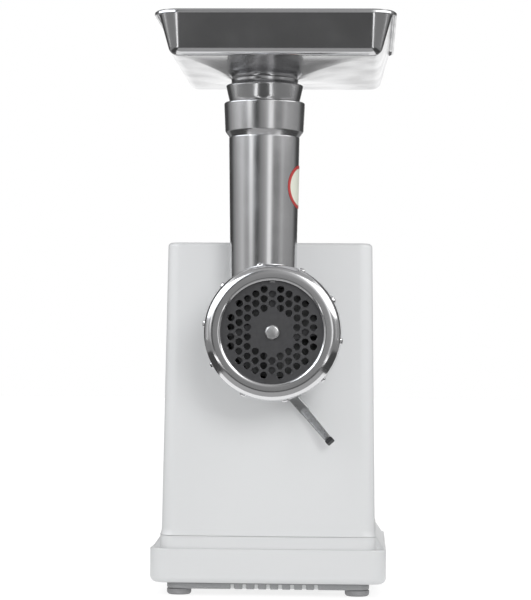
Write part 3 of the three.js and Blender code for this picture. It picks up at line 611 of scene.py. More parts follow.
def base_shape():
    """Slab, plinth and sloped shoulders, hollow from below."""
    width, depth = BASE_HIGH.x - BASE_LOW.x, BASE_HIGH.y - BASE_LOW.y
    centre = (0, middle(BASE_LOW.y, BASE_HIGH.y))
    bottom = BASE_BOTTOM
    corner, edge = 11, 4.4

    def level(z, inset):
        return rounded(width - 2 * inset, depth - 2 * inset, corner - inset), centre, z

    turn = [
        level(bottom + edge * (1 - math.cos(a)), edge * (1 - math.sin(a)))
        for a in (math.pi / 2 * i / 7 for i in range(8))
    ]
    lid = [
        level(SHOULDER - 1.0 + math.sin(a), 1.0 * (1 - math.cos(a)))
        for a in (math.pi / 2 * i / 4 for i in range(5))
    ]
    slab = lofted([*turn, *lid])
    plinth_width = SHELL_HIGH.x - SHELL_LOW.x
    plinth = lofted([
        (rounded(plinth_width, depth - 2.4, 9), centre, SHOULDER - 5),
        (rounded(plinth_width - 0.6, depth - 3.4, 9), centre, PLINTH_TOP),
    ])
    flank = 8
    sides = lofted([
        (rounded(width - 1.2, depth - 2 * flank, 11), centre, SHOULDER - 1),
        (rounded(plinth_width - 0.4, depth - 2 * flank - 12, 10), centre, PLINTH_TOP - 0.1),
    ])
    joined = carved(slab, "UNION", [plinth, sides])
    well = block((135.4, 172, 60), (0, 90, 30))
    tabs = [block((2.7, 8, 6.4), (x, COVER_LOW.y + 4.7, 7.7), 0.3, 2) for x in VENT_PLACES]
    sill = block((70, 3, 4), (VENT_MIDDLE, COVER_LOW.y + 0.5, 10.4))
    return carved(carved(joined, "DIFFERENCE", [well]), "UNION", [sill, *tabs])


def cover_shape():
    """The grey cover, with slots that run back from its front edge."""
    width, depth = COVER_HIGH.x - COVER_LOW.x, COVER_HIGH.y - COVER_LOW.y
    centre = (0, middle(COVER_LOW.y, COVER_HIGH.y))
    low, high = COVER_LOW.z, BASE_BOTTOM - 0.3
    plate = lofted([
        (rounded(width - 1.6, depth - 1.6, 7), centre, low),
        (rounded(width, depth, 8), centre, low + 0.8),
        (rounded(width, depth, 8), centre, high),
    ])
    upstand = block((133, depth - 4, COVER_HIGH.z - high + 1), (0, centre[1], middle(high - 1, COVER_HIGH.z)))
    pocket = block((126, depth - 11, 20), (0, centre[1], low + 12.6))
    tools = [pocket, block((72, 6, 8), (VENT_MIDDLE, COVER_LOW.y + 1, high + 4.01))]
    tools += [block((3, 63, 6.8), (x, COVER_LOW.y + 30.5, low), 1.0, 4) for x in VENT_PLACES]
    return carved(carved(plate, "UNION", [upstand]), "DIFFERENCE", tools)


def foot_shape(node):
    low, high = corners(node)
    x, y = middle(low.x, high.x), middle(low.y, high.y)
    radius = (high.x - low.x) / 2
    under = COVER_LOW.z - 0.3
    curve = [
        (radius - 1.9 * (1 - math.sin(a)), 2.2 - 2.2 * math.cos(a))
        for a in (math.pi / 2 * i / 6 for i in range(7))
    ]
    profile = [(0, 0.35), (3.4, 0.35), (4.0, 0), *curve, (radius, under), (3.4, under), (3.4, high.z), (0, high.z)]
    return turned(profile, "Z", (x, y, 0), 48)


def screw_shape(node):
    low, high = corners(node)
    centre = (middle(low.x, high.x), middle(low.y, high.y), 0)
    z = low.z
    body = turned([(0, z), (2.4, z), (3.4, z + 1), (3.4, z + 1.8), (1.7, z + 1.8), (1.7, high.z), (0, high.z)],
                  "Z", centre, 32)
    slots = [block(size, (centre[0], centre[1], z), 0.2, 1) for size in ((3.6, 0.8, 1.6), (0.8, 3.6, 1.6))]
    return carved(body, "DIFFERENCE", slots)


FEET = ("front_left", "front_right", "back_left", "back_right")


class GRINDER_OT_housing(Operator):
    """Make the motor housing"""

    bl_idname = "grinder.housing"
    bl_label = "Housing"

    def execute(self, context):
        s = context.scene.grinder_housing
        shape = housing_shape(s.width, s.top_width, s.corner, s.edge, s.vents)
        piece("motor_housing", shape, FINISHES["white"], "base", ["housing_shell"], 0.25)
        return {"FINISHED"}


class GRINDER_OT_base(Operator):
    """Make the base, its cover, its feet and the cover's screws"""

    bl_idname = "grinder.base"
    bl_label = "Base"

    def execute(self, context):
        piece("base_moulding", base_shape(), FINISHES["white"], "base", ["base_shell"], 0.5, 3)
        piece("underside_cover", cover_shape(), FINISHES["grey"], "base", ["bottom_cover"], 0.3)
        for place in FEET:
            foot, screw = "foot_" + place, "cover_screw_" + place
            piece("rubber_" + foot, foot_shape(foot), FINISHES["rubber"], "base", [foot], 0.2)
            piece("fitted_" + screw, screw_shape(screw), FINISHES["steel"], "base", [screw])
        return {"FINISHED"}


# ---------------------------------------------------------------- grinding head


def head_shape():
    """Barrel, neck and collar as one casting."""
    outside = turned(
        [
            (0, -97.6), (35.6, -97.6), (36.4, -96.8), (36.4, -74), (33.5, -71.5), (33.5, -27), (33.0, -23.6),
            (31.6, -20.3), (29.2, -17.4), (26.6, -15.6), (24, -14.6), (24, -10.4), (28, -10.4), (28, -4.4),
            (24, -4.4), (24, 14), (0, 14),
        ],
        "Y", AXIS, 128,
    )
    top = 320.1
    neck = turned(
        [
            (0, NECK_FOOT), (NECK_FOOT_RADIUS, NECK_FOOT), (NECK_HEAD_RADIUS, NECK_HEAD), (22.5, 297.9), (22.8, 298.3),
            (24.8, 301.0), (25.2, 301.9), (26.0, top - 1.2), (25.9, top - 0.5), (25.3, top), (0, top),
        ],
        "Z", NECK, 128,
    )
    bore = turned(
        [(0, -99), (33, -99), (33, -93.3), (29, -93.3), (29, -18.7), (13.6, -18.7), (13.6, -11), (15.5, -11),
         (15.5, 15), (0, 15)],
        "Y", AXIS, 128,
    )
    throat = turned(
        [(0, 177.4), (19.45, 177.4), (19.45, 206), (20.95, top - 19), (22.7, top - 17.5), (22.7, top + 1),
         (0, top + 1)],
        "Z", NECK, 128,
    )
    key = block((3, 3.7, 3.2), AXIS + Vector((0, -95.15, 32.6)))
    whole = carved(outside, "UNION", [neck])
    return carved(carved(whole, "DIFFERENCE", [bore, throat]), "UNION", [key])


def nut_shape(ribs):
    """The ring nut: a rounded, polished shoulder, a recessed lip and a skirt with grip ribs."""
    front, back = NUT_LOW.y, NUT_HIGH.y
    shoulder = [
        (36.2 + 6.1 * math.sin(a), front + 6.1 * (1 - math.cos(a))) for a in (math.pi / 2 * i / 12 for i in range(13))
    ]
    lip = [
        (31.6 + 2.2 * (1 - math.sin(a)), front + 1.9 * (1 - math.cos(a)))
        for a in (math.pi / 2 * (1 - i / 6) for i in range(7))
    ]
    profile = [
        (31.6, -98.9), *lip, *shoulder, (42.9, back - 2), (42.7, back - 0.6), (42.1, back),
        (37, back), (37, -98.9), (31.6, -98.9),
    ]
    ring = turned(profile, "Y", AXIS, 160)
    if not ribs:
        return ring
    length = 16
    tools = []
    for i in range(ribs):
        bar = block((6, length, 4.4), (40.8, back - 1 - length / 2, 0), 1.5, 4)
        turn = Matrix.Rotation(-math.radians(29 + i * 360 / ribs), 4, "Y")
        tools.append(moved(moved(bar, turn), Matrix.Translation(AXIS)))
    return carved(ring, "UNION", tools)


def plate_shape(hole, pitch):
    """The cutting plate. Its holes fill three rows of a hexagonal pattern round the centre."""
    front, back = PLATE_LOW.y, PLATE_HIGH.y
    disc = turned([(0, front), (32.3, front), (32.6, front + 0.3), (32.6, back), (0, back)], "Y", AXIS, 160)
    tools = [
        turned(disc_profile(4.55, front - 1, back + 1), "Y", AXIS, 48),
        block((3.8, 20, 4.2), AXIS + Vector((0, front, 32.6))),
    ]
    nearest, furthest = 2.6, 4.6
    for column in range(-6, 7):
        for row in range(-6, 7):
            spot = Vector((column * math.sqrt(0.75), row + (0.5 if column % 2 else 0)))
            if not nearest <= spot.length <= furthest:
                continue
            centre = AXIS + Vector((spot.x * pitch, 0, spot.y * pitch))
            sink = 0.25
            drill = [
                (0, front - 1), (hole / 2 + sink + 1, front - 1), (hole / 2 + sink, front), (hole / 2, front + sink),
                (hole / 2, back + 1), (0, back + 1),
            ]
            tools.append(turned(drill, "Y", centre, 20))
    return carved(disc, "DIFFERENCE", tools)


def pin_shape():
    low, high = corners("auger_pin")
    body = turned(
        [(0, low.y), (3.3, low.y), (4.0, low.y + 0.4), (4.45, low.y + 1.2), (4.45, high.y), (0, high.y)],
        "Y", AXIS, 48,
    )
    flats = [
        moved(block((4, 3.6, 12), (5.8, low.y + 0.6, 0)), Matrix.Translation(AXIS) @ Matrix.Rotation(a, 4, "Y"))
        for a in (0.3, 0.3 + math.pi / 2, 0.3 + math.pi, 0.3 - math.pi / 2)
    ]
    return carved(body, "DIFFERENCE", flats)


def auger_shape():
    """A tapering core, one helical flight spun round it, and the square and hexagon at its ends."""
    front, back = -85.5, -19.5
    core = turned([(0, front), (12.4, front), (13, front + 0.6), (11, -46), (9.5, back), (9, back + 0.4),
                   (9, 0.5), (0, 0.5)], "Y", AXIS, 64)
    turns, per_turn = 2.6, 40
    steps = round(turns * per_turn)
    length = back - front
    flight = bmesh.new()
    section = [Vector((7, -2.6, 0)), Vector((28.0, -1.1, 0)), Vector((28.4, -0.7, 0)), Vector((28.4, 0.7, 0)),
               Vector((28.0, 1.1, 0)), Vector((7, 2.6, 0))]
    loop = [flight.verts.new(p) for p in section]
    face = flight.faces.new(loop)
    for i in range(steps):
        grown = bmesh.ops.extrude_discrete_faces(flight, faces=[face])
        face = grown["faces"][0]
        share, before = (i + 1) / steps, i / steps
        rise = (length - 7) * (share**1.25 - before**1.25)
        turn = Matrix.Rotation(-math.tau / per_turn, 4, "Y")
        for vert in face.verts:
            vert.co = turn @ vert.co + Vector((0, rise, 0))
    bmesh.ops.translate(flight, vec=(0, front + 3.4, 0), verts=flight.verts)
    bmesh.ops.remove_doubles(flight, verts=flight.verts, dist=1e-4)
    bmesh.ops.recalc_face_normals(flight, faces=flight.faces)
    moved(flight, Matrix.Translation(AXIS))
    square_end = -93.3
    square = block((8.6, front + 1 - square_end, 8.6), AXIS + Vector((0, (front + 1 + square_end) / 2, 0)), 0.4, 2)
    hexagon = turned(disc_profile(7.4, 0, 20), "Y", AXIS, 6)
    return carved(core, "UNION", [flight, square, hexagon])


def knife_shape():
    """Four hooked blades round a hub with a square hole."""
    front = -93.3
    hub = turned([(0, front), (9.2, front), (9.5, front + 0.3), (9.5, -86.0), (0, -86.0)], "Y", AXIS, 64)
    blades = []
    for i in range(4):
        blade = bmesh.new()
        outline = [(4, -4.6), (15, -4.4), (28, -1.2), (28, 2.4), (14, 1.6), (4, 4.6)]
        verts = [blade.verts.new((x, front, z)) for x, z in outline]
        base = blade.faces.new(verts)
        grown = bmesh.ops.extrude_face_region(blade, geom=[base])["geom"]
        tops = [v for v in grown if isinstance(v, bmesh.types.BMVert)]
        bmesh.ops.translate(blade, vec=(0, 4.2, 0), verts=tops)
        bmesh.ops.recalc_face_normals(blade, faces=blade.faces)
        turn = Matrix.Translation(AXIS) @ Matrix.Rotation(i * math.pi / 2, 4, "Y")
        blades.append(moved(blade, turn))
    whole = carved(hub, "UNION", blades)
    return carved(whole, "DIFFERENCE", [block((9.2, 30, 9.2), AXIS + Vector((0, front, 0)))])


class GRINDER_OT_head(Operator):
    """Make the head's casting and the round label on its neck"""

    bl_idname = "grinder.head"
    bl_label = "Head"

    def execute(self, context):
        piece("head_casting", head_shape(), FINISHES["neck"], "head", ["grinder_head"], 0.3)
        make_label()
        return {"FINISHED"}


def make_label():
    """A round paper label bent round the neck's right side."""
    height, radius, turn = 266.0, 13.8, math.radians(81)
    bm = bmesh.new()
    bmesh.ops.create_grid(bm, x_segments=36, y_segments=36, size=1)
    reach = bm.verts.layers.float.new("reach")
    for vert in bm.verts:
        across = vert.co.x * math.sqrt(1 - vert.co.y**2 / 2)
        up = vert.co.y * math.sqrt(1 - vert.co.x**2 / 2)
        vert[reach] = math.hypot(across, up)
        z = height + radius * up
        surface = neck_radius(z) + 0.12
        angle = turn + radius * across / surface
        vert.co = Vector((NECK.x + surface * math.sin(angle), NECK.y - surface * math.cos(angle), z))
    bmesh.ops.recalc_face_normals(bm, faces=bm.faces)
    bmesh.ops.solidify(bm, geom=bm.faces, thickness=0.08)
    piece("neck_label", bm, sticker("Round label"), "head", [])


class GRINDER_OT_nut(Operator):
    """Make the ring nut"""

    bl_idname = "grinder.nut"
    bl_label = "Ring nut"

    def execute(self, context):
        shape = nut_shape(context.scene.grinder_head.ribs)
        piece("fastening_ring", shape, FINISHES["nut"], "ring_nut", ["ring_nut"], 0.2, sharp=40)
        return {"FINISHED"}


class GRINDER_OT_cutters(Operator):
    """Make the cutting plate, the knife, the auger and its pin"""

    bl_idname = "grinder.cutters"
    bl_label = "Plate, knife and auger"

    def execute(self, context):
        s = context.scene.grinder_head
        piece("perforated_plate", plate_shape(s.holes, s.pitch), FINISHES["plate"], "cutting_plate",
              ["cutting_plate"])
        piece("centre_pin", pin_shape(), FINISHES["pin"], "auger", ["auger_pin"], 0.15)
        piece("feed_screw", auger_shape(), FINISHES["screw"], "auger", ["auger"], sharp=32)
        piece("cross_knife", knife_shape(), FINISHES["knife"], "auger", ["knife"], 0.15)
        return {"FINISHED"}


# ---------------------------------------------------------------- tray


def tray_shape(sheet):
    """The outer skin of the pan and its spigot, then given the sheet's thickness inwards."""
    top_centre, at_neck = (7.9, NECK.y), (NECK.x, NECK.y)
    low_width, low_depth, high_width, high_depth = 127.0, 180.6, 140.9, 194.6
    floor, wall_top, rim = 339.4, 363.4, 365.8
    corner_low, corner_high = 6, 13
    fold = 4.5

    def pan(share, z, grow=0.0, soften=0.0):
        width = low_width + (high_width - low_width) * share + 2 * grow
        depth = low_depth + (high_depth - low_depth) * share + 2 * grow
        corner = corner_low + (corner_high - corner_low) * share + grow + soften
        return rounded(width, depth, corner), top_centre, z

    def spout(radius, z):
        return circular(radius), at_neck, z

    def bell(share):
        """A level of the flared funnel, part of the way from the spout's circle to the pan's floor."""
        edge = rounded(low_width - 2 * fold, low_depth - 2 * fold, corner_low - fold / 2)

        def outline(place):
            return circle_point(place, 22.4).lerp(edge(place), share)

        centre = Vector(at_neck).lerp(Vector(top_centre), share)
        return outline, centre, floor - 4.1 * (1 - share) ** 2.4

    angles = [math.pi / 2 * i / 6 for i in range(7)]
    bend = [
        pan(0.2 * (i / 6), floor + fold * (1 - math.cos(a)), -fold * (1 - math.sin(a)), fold / 2 * (1 - math.sin(a)))
        for i, a in enumerate(angles)
    ]
    curl = rim - sheet - wall_top  # radius of the lip's underside
    lip = [pan(1, wall_top + curl * math.sin(a), curl * (1 - math.cos(a))) for a in angles]
    levels = [
        spout(22.2, 303.0), spout(22.2, 320.0), spout(22.9, 322.4), spout(24.7, 330.0), spout(24.8, 330.6),
        spout(24.5, 331.2), spout(22.3, 332.0), spout(21.6, 332.6), spout(21.4, 333.6), spout(21.5, 335.0),
        *[bell(share) for share in (0, 0.02, 0.05, 0.1, 0.16, 0.24, 0.34, 0.46, 0.6, 0.76, 0.92)],
        *bend, *lip, pan(1, rim - sheet - 0.3, curl + 0.4),
        pan(1, rim - sheet - 1.2, curl + 0.5),
    ]
    bm = lofted(levels, 128, capped=False)
    lowest = min(bm.faces, key=lambda face: face.calc_center_median().z)
    lowest.normal_update()
    if lowest.normal.dot(lowest.calc_center_median() - NECK) < 0:
        bmesh.ops.reverse_faces(bm, faces=bm.faces)
    bm.normal_update()
    bmesh.ops.solidify(bm, geom=bm.faces, thickness=sheet)
    return bm


class GRINDER_OT_tray(Operator):
    """Make the food tray"""

    bl_idname = "grinder.tray"
    bl_label = "Tray"

    def execute(self, context):
        shape = tray_shape(context.scene.grinder_tray.sheet)
        piece("food_tray", shape, FINISHES["tray"], "tray", ["tray"], 0.3, sharp=40)
        return {"FINISHED"}


# ---------------------------------------------------------------- head mount and clamp


def socket_shape():
    return turned(
        [
            (24.4, -4), (32.2, -4), (32.7, -3.8), (33, -3.3), (33, -0.3), (29.5, -0.3), (29.5, 16), (24.4, 16),
            (24.4, -4),
        ],
        "Y", AXIS, 128,
    )


def lever_frame():
    """The lever is drawn along +x; this turns it down to its rest place on the stud."""
    return Matrix.Translation(STUD) @ Matrix.Rotation(math.radians(48.5), 4, "Y")


def lever_shape():
    front, back = -10.8, -4.4
    to_axis = (Matrix.Rotation(-math.radians(48.5), 3, "Y") @ (AXIS - STUD)).normalized()
    hub = turned([(0, front), (7.1, front), (7.6, front + 0.5), (7.6, back), (0, back)], "Y", to_axis, 64)
    arm = block((18, 5, 6.2), (9, front + 2.5, 0), 0.5, 3)
    knuckle = turned([(0, front), (2.5, front), (3.1, front + 0.9), (3.1, front + 5), (0, front + 5)], "Y", (18, 0, 0), 48)
    handle = block((29.4, 4.2, 5.6), (14.7, 0, 0), 1.2, 4)
    for vert in handle.verts:
        vert.co.z *= 1 - 0.18 * vert.co.x / 29.4
    moved(handle, Matrix.Translation((16.8, front + 2.5, 0)) @ Matrix.Rotation(math.radians(-30), 4, "Z"))
    hole = turned(disc_profile(3.4, -20, 0), "Y", (0, 0, 0), 32)
    whole = carved(hub, "UNION", [arm, knuckle, handle])
    return moved(carved(whole, "DIFFERENCE", [hole]), lever_frame())


def tip_shape():
    cap = block((2.9, 4.7, 5.3), (30.9, 0, 0), 0.8, 3)
    moved(cap, Matrix.Translation((16.8, -8.3, 0)) @ Matrix.Rotation(math.radians(-30), 4, "Z"))
    return moved(cap, lever_frame())


def stud_shape():
    body = turned(
        [(0, -14.4), (3.6, -14.4), (4.8, -13.7), (5.2, -12.7), (5.2, -11.1), (3.05, -11.1), (3.05, 8), (0, 8)],
        "Y", STUD, 48,
    )
    return carved(body, "DIFFERENCE", [turned(disc_profile(2.1, -15, -12.6), "Y", STUD, 6)])


class GRINDER_OT_clamp(Operator):
    """Make the head's socket and the clamp lever"""

    bl_idname = "grinder.clamp"
    bl_label = "Socket and clamp"

    def execute(self, context):
        piece("mounting_socket", socket_shape(), FINISHES["cast"], "base", ["head_socket"], 0.3)
        piece("clamp_arm", lever_shape(), FINISHES["lever"], "clamp", ["clamp_lever"], 0.25)
        piece("clamp_cap", tip_shape(), FINISHES["black"], "clamp", ["lever_tip"])
        piece("clamp_pivot", stud_shape(), FINISHES["steel"], "clamp", ["clamp_stud"], 0.15)
        return {"FINISHED"}


# ---------------------------------------------------------------- switch and cord entry


def bezel_shape():
    low, high = corners("switch_body")
    wall = low.x + 2.5
    y, z = middle(low.y, high.y), middle(low.z, high.z)
    frame_plate = block((2.2, 31, 37), (wall - 1.4, y, z), 1.0, 4)
    can = block((24, 25.6, 31.6), (wall + 10, y, z), 0.6, 2)
    well = block((16, 18.6, 27), (wall - 2, y, z), 0.4, 2)
    return carved(carved(frame_plate, "UNION", [can]), "DIFFERENCE", [well])


def rocker_shape():
    """The rocker: a bar with a hollowed face, rounded along its edges."""
    low, high = corners("switch_rocker")
    y, z = middle(low.y, high.y), middle(low.z, high.z)
    body = block((high.x - low.x, high.y - low.y, high.z - low.z), (middle(low.x, high.x), y, z), 0.7, 3)
    radius = 60
    dish = turned(disc_profile(radius, low.y - 1, high.y + 1), "Y", (low.x - radius + 1.2, 0, z), 256)
    return carved(body, "DIFFERENCE", [dish])


def gland_shape():
    low, high = corners("cord_gland")
    centre = (middle(low.x, high.x), 0, middle(low.z, high.z))
    back = high.y
    profile = [(3.6, low.y), (8.5, low.y), (8.5, low.y + 2.4), (6, low.y + 2.4), (6, back - 9.7), (8.5, back - 9.7)]
    profile += [(8.2, back - 7.4), (7.4, back - 6.4)]
    for i in range(3):
        y = back - 6.0 + 1.8 * i
        profile += [(7.0 - 0.7 * i, y), (7.0 - 0.7 * i, y + 0.8), (5.6 - 0.4 * i, y + 1.0), (5.6 - 0.4 * i, y + 1.6)]
    profile += [(5.0, back), (3.6, back), (3.6, low.y)]
    return turned(profile, "Y", centre, 48)


class GRINDER_OT_controls(Operator):
    """Make the switch and the cord's gland"""

    bl_idname = "grinder.controls"
    bl_label = "Switch and gland"

    def execute(self, context):
        piece("switch_frame", bezel_shape(), FINISHES["black"], "base", ["switch_body"])
        piece("rocker_button", rocker_shape(), FINISHES["black"], "rocker", ["switch_rocker"])
        piece("cord_entry", gland_shape(), FINISHES["black"], "base", ["cord_gland"])
        return {"FINISHED"}


# ---------------------------------------------------------------- works inside the housing

WORKS = {
    "cast": ("gearbox_case", "gearbox_cover", "motor_front_bracket", "motor_rear_bracket"),
    "steel": (
        "gearbox_screw_1", "gearbox_screw_2", "gearbox_screw_3", "idler_axle", "output_spindle", "output_gear",
        "idler_pinion", "motor_pinion", "motor_shaft", "motor_front_bearing", "motor_rear_bearing",
        "motor_bolt_left", "motor_bolt_right",
    ),
    "bronze": ("output_bush_front", "output_bush_rear", "brush_holder_left", "brush_holder_right"),
    "nylon": ("auger_bush", "idler_wheel"),
    "lamination": ("stator_core", "armature_core"),
    "copper": ("field_coil_left", "field_coil_right", "commutator"),
    "black": ("cooling_fan",),
    "carbon": ("brush_left", "brush_right"),
}


class GRINDER_OT_works(Operator):
    """Give the motor, the gearbox and the bushes their finishes"""

    bl_idname = "grinder.works"
    bl_label = "Motor and gearbox"

    def execute(self, context):
        for finish, names in WORKS.items():
            for name in names:
                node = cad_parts[name]
                node.data.materials.clear()
                node.data.materials.append(FINISHES[finish])
        return {"FINISHED"}


# ---------------------------------------------------------------- stage


def reflected_only(bm, name, glow, tone=(1, 1, 1)):
    """A glowing card that the metal mirrors. It lights nothing and the camera doesn't see it."""
    mesh = bpy.data.meshes.new(name)
    bm.to_mesh(mesh)
    bm.free()
    card = bpy.data.objects.new(name, mesh)
    bpy.context.scene.collection.objects.link(card)
    made = Surface(name, (0, 0, 0), 1.0, specular=0.0)
    made.shader.inputs["Emission Color"].default_value = (*tone, 1)
    made.shader.inputs["Emission Strength"].default_value = glow
    mesh.materials.append(made.material)
    card.visible_camera = False
    card.visible_shadow = False
    card.visible_diffuse = False
    return card


def standing_card(name, start, end, low, high, glow, tone=(1, 1, 1), radius=2.0):
    """A curved card round the machine. Angles are in degrees to the right of straight ahead."""
    bm = bmesh.new()
    verts = [bm.verts.new((0, -radius, z)) for z in (low, high)]
    edge = bm.edges.new(verts)
    bmesh.ops.rotate(bm, verts=verts, cent=(0, 0, 0), matrix=Matrix.Rotation(math.radians(start), 3, "Z"))
    bmesh.ops.spin(
        bm, geom=[*verts, edge], cent=(0, 0, 0), axis=(0, 0, 1), angle=math.radians(end - start), steps=12,
        use_merge=False,
    )
    bmesh.ops.translate(bm, vec=ORIGIN + NECK * MM, verts=bm.verts)
    reflected_only(bm, name, glow, tone)


def studio_wall(tones, radius=2.0, foot=-0.1, height=2.3):
    """A wall all round the machine. A tone is (degrees to the right, glow near the floor, glow higher up)."""
    bm = bmesh.new()
    bmesh.ops.create_grid(bm, x_segments=240, y_segments=8, size=1)
    glow = bm.verts.layers.float.new("glow")
    for vert in bm.verts:
        angle, z = 180 * vert.co.x, foot + height * (vert.co.y + 1) / 2
        after = next(i for i, tone in enumerate(tones) if tone[0] >= angle - 0.001 and i > 0)
        (start, *from_tone), (end, *to_tone) = tones[after - 1], tones[after]
        share = (angle - start) / (end - start)
        vert[glow] = (from_tone[z > 0.4] * (1 - share) + to_tone[z > 0.4] * share)
        turn = math.radians(angle)
        vert.co = Vector((radius * math.sin(turn), -radius * math.cos(turn), z))
    bmesh.ops.translate(bm, vec=ORIGIN + NECK * MM, verts=bm.verts)
    card = reflected_only(bm, "studio wall", 1)
    tree = card.data.materials[0].node_tree
    reader = tree.nodes.new("ShaderNodeAttribute")
    reader.attribute_name = "glow"
    tree.links.new(reader.outputs["Fac"], tree.nodes["Principled BSDF"].inputs["Emission Strength"])


def lying_card(name, size, centre, glow):
    bm = bmesh.new()
    bmesh.ops.create_grid(bm, x_segments=1, y_segments=1, size=0.5)
    bmesh.ops.scale(bm, vec=(*size, 1), verts=bm.verts)
    bmesh.ops.translate(bm, vec=ORIGIN + Vector(centre), verts=bm.verts)
    reflected_only(bm, name, glow)


def lamp(name, size, place, aim, power):
    data = bpy.data.lights.new(name, "AREA")
    data.shape = "RECTANGLE"
    data.size, data.size_y = size
    data.energy = power
    made = bpy.data.objects.new(name, data)
    bpy.context.scene.collection.objects.link(made)
    made.location = place
    made.rotation_euler = (Vector(aim) - Vector(place)).to_track_quat("-Z", "Y").to_euler()
    return made


def pale_floor():
    bm = bmesh.new()
    bmesh.ops.create_circle(bm, cap_ends=True, radius=9, segments=96)
    mesh = bpy.data.meshes.new("floor")
    bm.to_mesh(mesh)
    bm.free()
    floor = bpy.data.objects.new("floor", mesh)
    bpy.context.scene.collection.objects.link(floor)
    made = Surface("Pale floor", (0.25, 0.25, 0.25), 0.8, specular=0.1)
    made.tint(made.noise(3, 2), (0.24, 0.24, 0.24))
    made.shader.inputs["Emission Color"].default_value = (1, 1, 1, 1)
    made.shader.inputs["Emission Strength"].default_value = 0.8
    mesh.materials.append(made.material)


def camera():
    """The photographer's place: low, in front and a little to the right."""
    distance, side, height = 1.502, 0.063, 0.1518
    yaw, pitch, roll = math.radians(2.498), math.radians(1.65), math.radians(0.45)
    data = bpy.data.cameras.new("camera")
    data.sensor_width = 36
    data.lens = 136.8
    made = bpy.data.objects.new("camera", data)
    bpy.context.scene.collection.objects.link(made)
    made.location = ORIGIN + Vector((side, -distance, height))
    look = Vector((-math.sin(yaw) * math.cos(pitch), math.cos(yaw) * math.cos(pitch), math.sin(pitch)))
    made.rotation_mode = "QUATERNION"
    made.rotation_quaternion = look.to_track_quat("-Z", "Y") @ Quaternion((0, 0, 1), roll)
    bpy.context.scene.camera = made


WALL_TONES = (
    (-180, 1.1, 1.1), (-166, 1.1, 1.1), (-160, 0.06, 0.06), (-130, 0.06, 0.06), (-116, 0.25, 0.25),
    (-88, 0.5, 0.5), (-74, 0.64, 0.64), (-60, 0.40, 0.40), (-50, 0.38, 0.42), (-44, 0.5, 1.3), (-38, 0.5, 1.3),
    (-31, 0.35, 0.35), (-24, 0.08, 0.08), (-16, 0.08, 0.08), (-9, 0.22, 0.28), (2, 0.28, 0.42), (12, 0.45, 0.6),
    (17, 1.1, 1.15), (25, 1.1, 1.15), (30, 0.35, 0.38), (36, 0.2, 0.22), (52, 0.25, 0.27), (64, 0.5, 0.5),
    (76, 0.34, 0.36), (114, 0.32, 0.32), (132, 0.07, 0.07), (160, 0.06, 0.06), (166, 1.1, 1.1), (180, 1.1, 1.1),
)


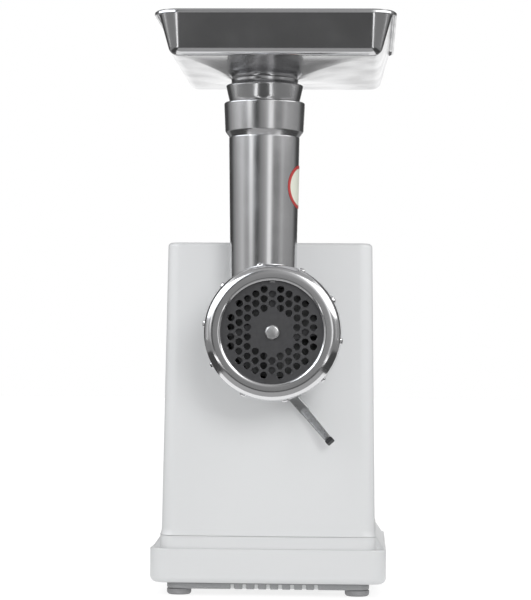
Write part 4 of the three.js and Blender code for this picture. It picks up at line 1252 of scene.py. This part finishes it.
class GRINDER_OT_stage(Operator):
    """Make the camera, the floor and the studio light"""

    bl_idname = "grinder.stage"
    bl_label = "Stage"

    def execute(self, context):
        camera()
        pale_floor()
        context.scene.view_settings.view_transform = "Standard"
        world = bpy.data.worlds.new("studio")
        context.scene.world = world
        world.use_nodes = True
        world.node_tree.nodes["Background"].inputs["Color"].default_value = (1, 1, 1, 1)
        world.node_tree.nodes["Background"].inputs["Strength"].default_value = 1.0
        head = ORIGIN + Vector((0, 0, 0.2))
        lamp("left softbox", (0.5, 0.9), ORIGIN + Vector((-1.3, -1.3, 1.3)), head, 6)
        lamp("right softbox", (0.5, 0.9), ORIGIN + Vector((1.3, -1.3, 1.3)), head, 5)
        fill = lamp("fill on the housing", (0.3, 0.3), ORIGIN + Vector((0.25, -1.25, 0.42)), head + Vector((0, 0, 0.03)), 0.2)
        fill.data.spread = math.radians(28)
        fill.visible_glossy = False
        studio_wall(WALL_TONES)
        standing_card("softbox left", -108, -22, 0.60, 2.1, 2.4, (0.93, 0.96, 1.0), 1.9)
        standing_card("softbox right", 24, 100, 0.64, 2.1, 2.2, radius=1.9)
        standing_card("grey wall behind", 150, 210, 0.62, 2.2, 0.3, radius=1.9)
        lying_card("ceiling", (3.0, 3.0), (0, -0.4, 2.15), 0.42)
        lying_card("dark floor in front", (0.56, 1.8), (0, -1.46, 0.003), 0.10)
        lying_card("grey floor close by", (0.44, 0.42), (0, -0.35, 0.003), 0.42)
        lying_card("floor strip left", (0.12, 1.7), (-0.40, -1.42, 0.003), 1.8)
        lying_card("floor strip right", (0.10, 1.7), (0.34, -1.42, 0.003), 1.8)
        for side in (-1, 1):
            lying_card("dark floor beside", (0.36, 1.1), (side * 0.4, -0.01, 0.003), 0.07)
            lying_card("grey floor beside", (1.5, 3.4), (side * 1.03, -0.6, 0.002), 0.26)
        lying_card("dark floor behind", (4.0, 1.4), (0, 1.3, 0.001), 0.2)
        return {"FINISHED"}


# ---------------------------------------------------------------- panel and registration

STEPS = (
    "stage", "materials", "housing", "base", "head", "nut", "cutters", "tray", "clamp", "controls", "works",
)


class GRINDER_PT_sidebar(Panel):
    bl_idname = "GRINDER_PT_sidebar"
    bl_label = "Meat grinder"
    bl_space_type = "VIEW_3D"
    bl_region_type = "UI"
    bl_category = "Grinder"

    def draw(self, context):
        scene = context.scene
        for settings in (scene.grinder_housing, scene.grinder_head, scene.grinder_tray):
            for name in settings.bl_rna.properties.keys():
                if name not in ("rna_type", "name"):
                    self.layout.prop(settings, name)
        for step in STEPS:
            self.layout.operator("grinder." + step)


CLASSES = (
    HousingSettings, HeadSettings, TraySettings, GRINDER_OT_stage, GRINDER_OT_materials, GRINDER_OT_housing,
    GRINDER_OT_base, GRINDER_OT_head, GRINDER_OT_nut, GRINDER_OT_cutters, GRINDER_OT_tray, GRINDER_OT_clamp,
    GRINDER_OT_controls, GRINDER_OT_works, GRINDER_PT_sidebar,
)


def register():
    for entry in CLASSES:
        bpy.utils.register_class(entry)
    bpy.types.Scene.grinder_housing = PointerProperty(type=HousingSettings)
    bpy.types.Scene.grinder_head = PointerProperty(type=HeadSettings)
    bpy.types.Scene.grinder_tray = PointerProperty(type=TraySettings)


def unregister():
    del bpy.types.Scene.grinder_tray
    del bpy.types.Scene.grinder_head
    del bpy.types.Scene.grinder_housing
    for entry in reversed(CLASSES):
        bpy.utils.unregister_class(entry)


def main():
    register()
    for step in STEPS:
        getattr(bpy.ops.grinder, step)()
    bpy.context.view_layer.update()


if __name__ == "__main__":
    main()
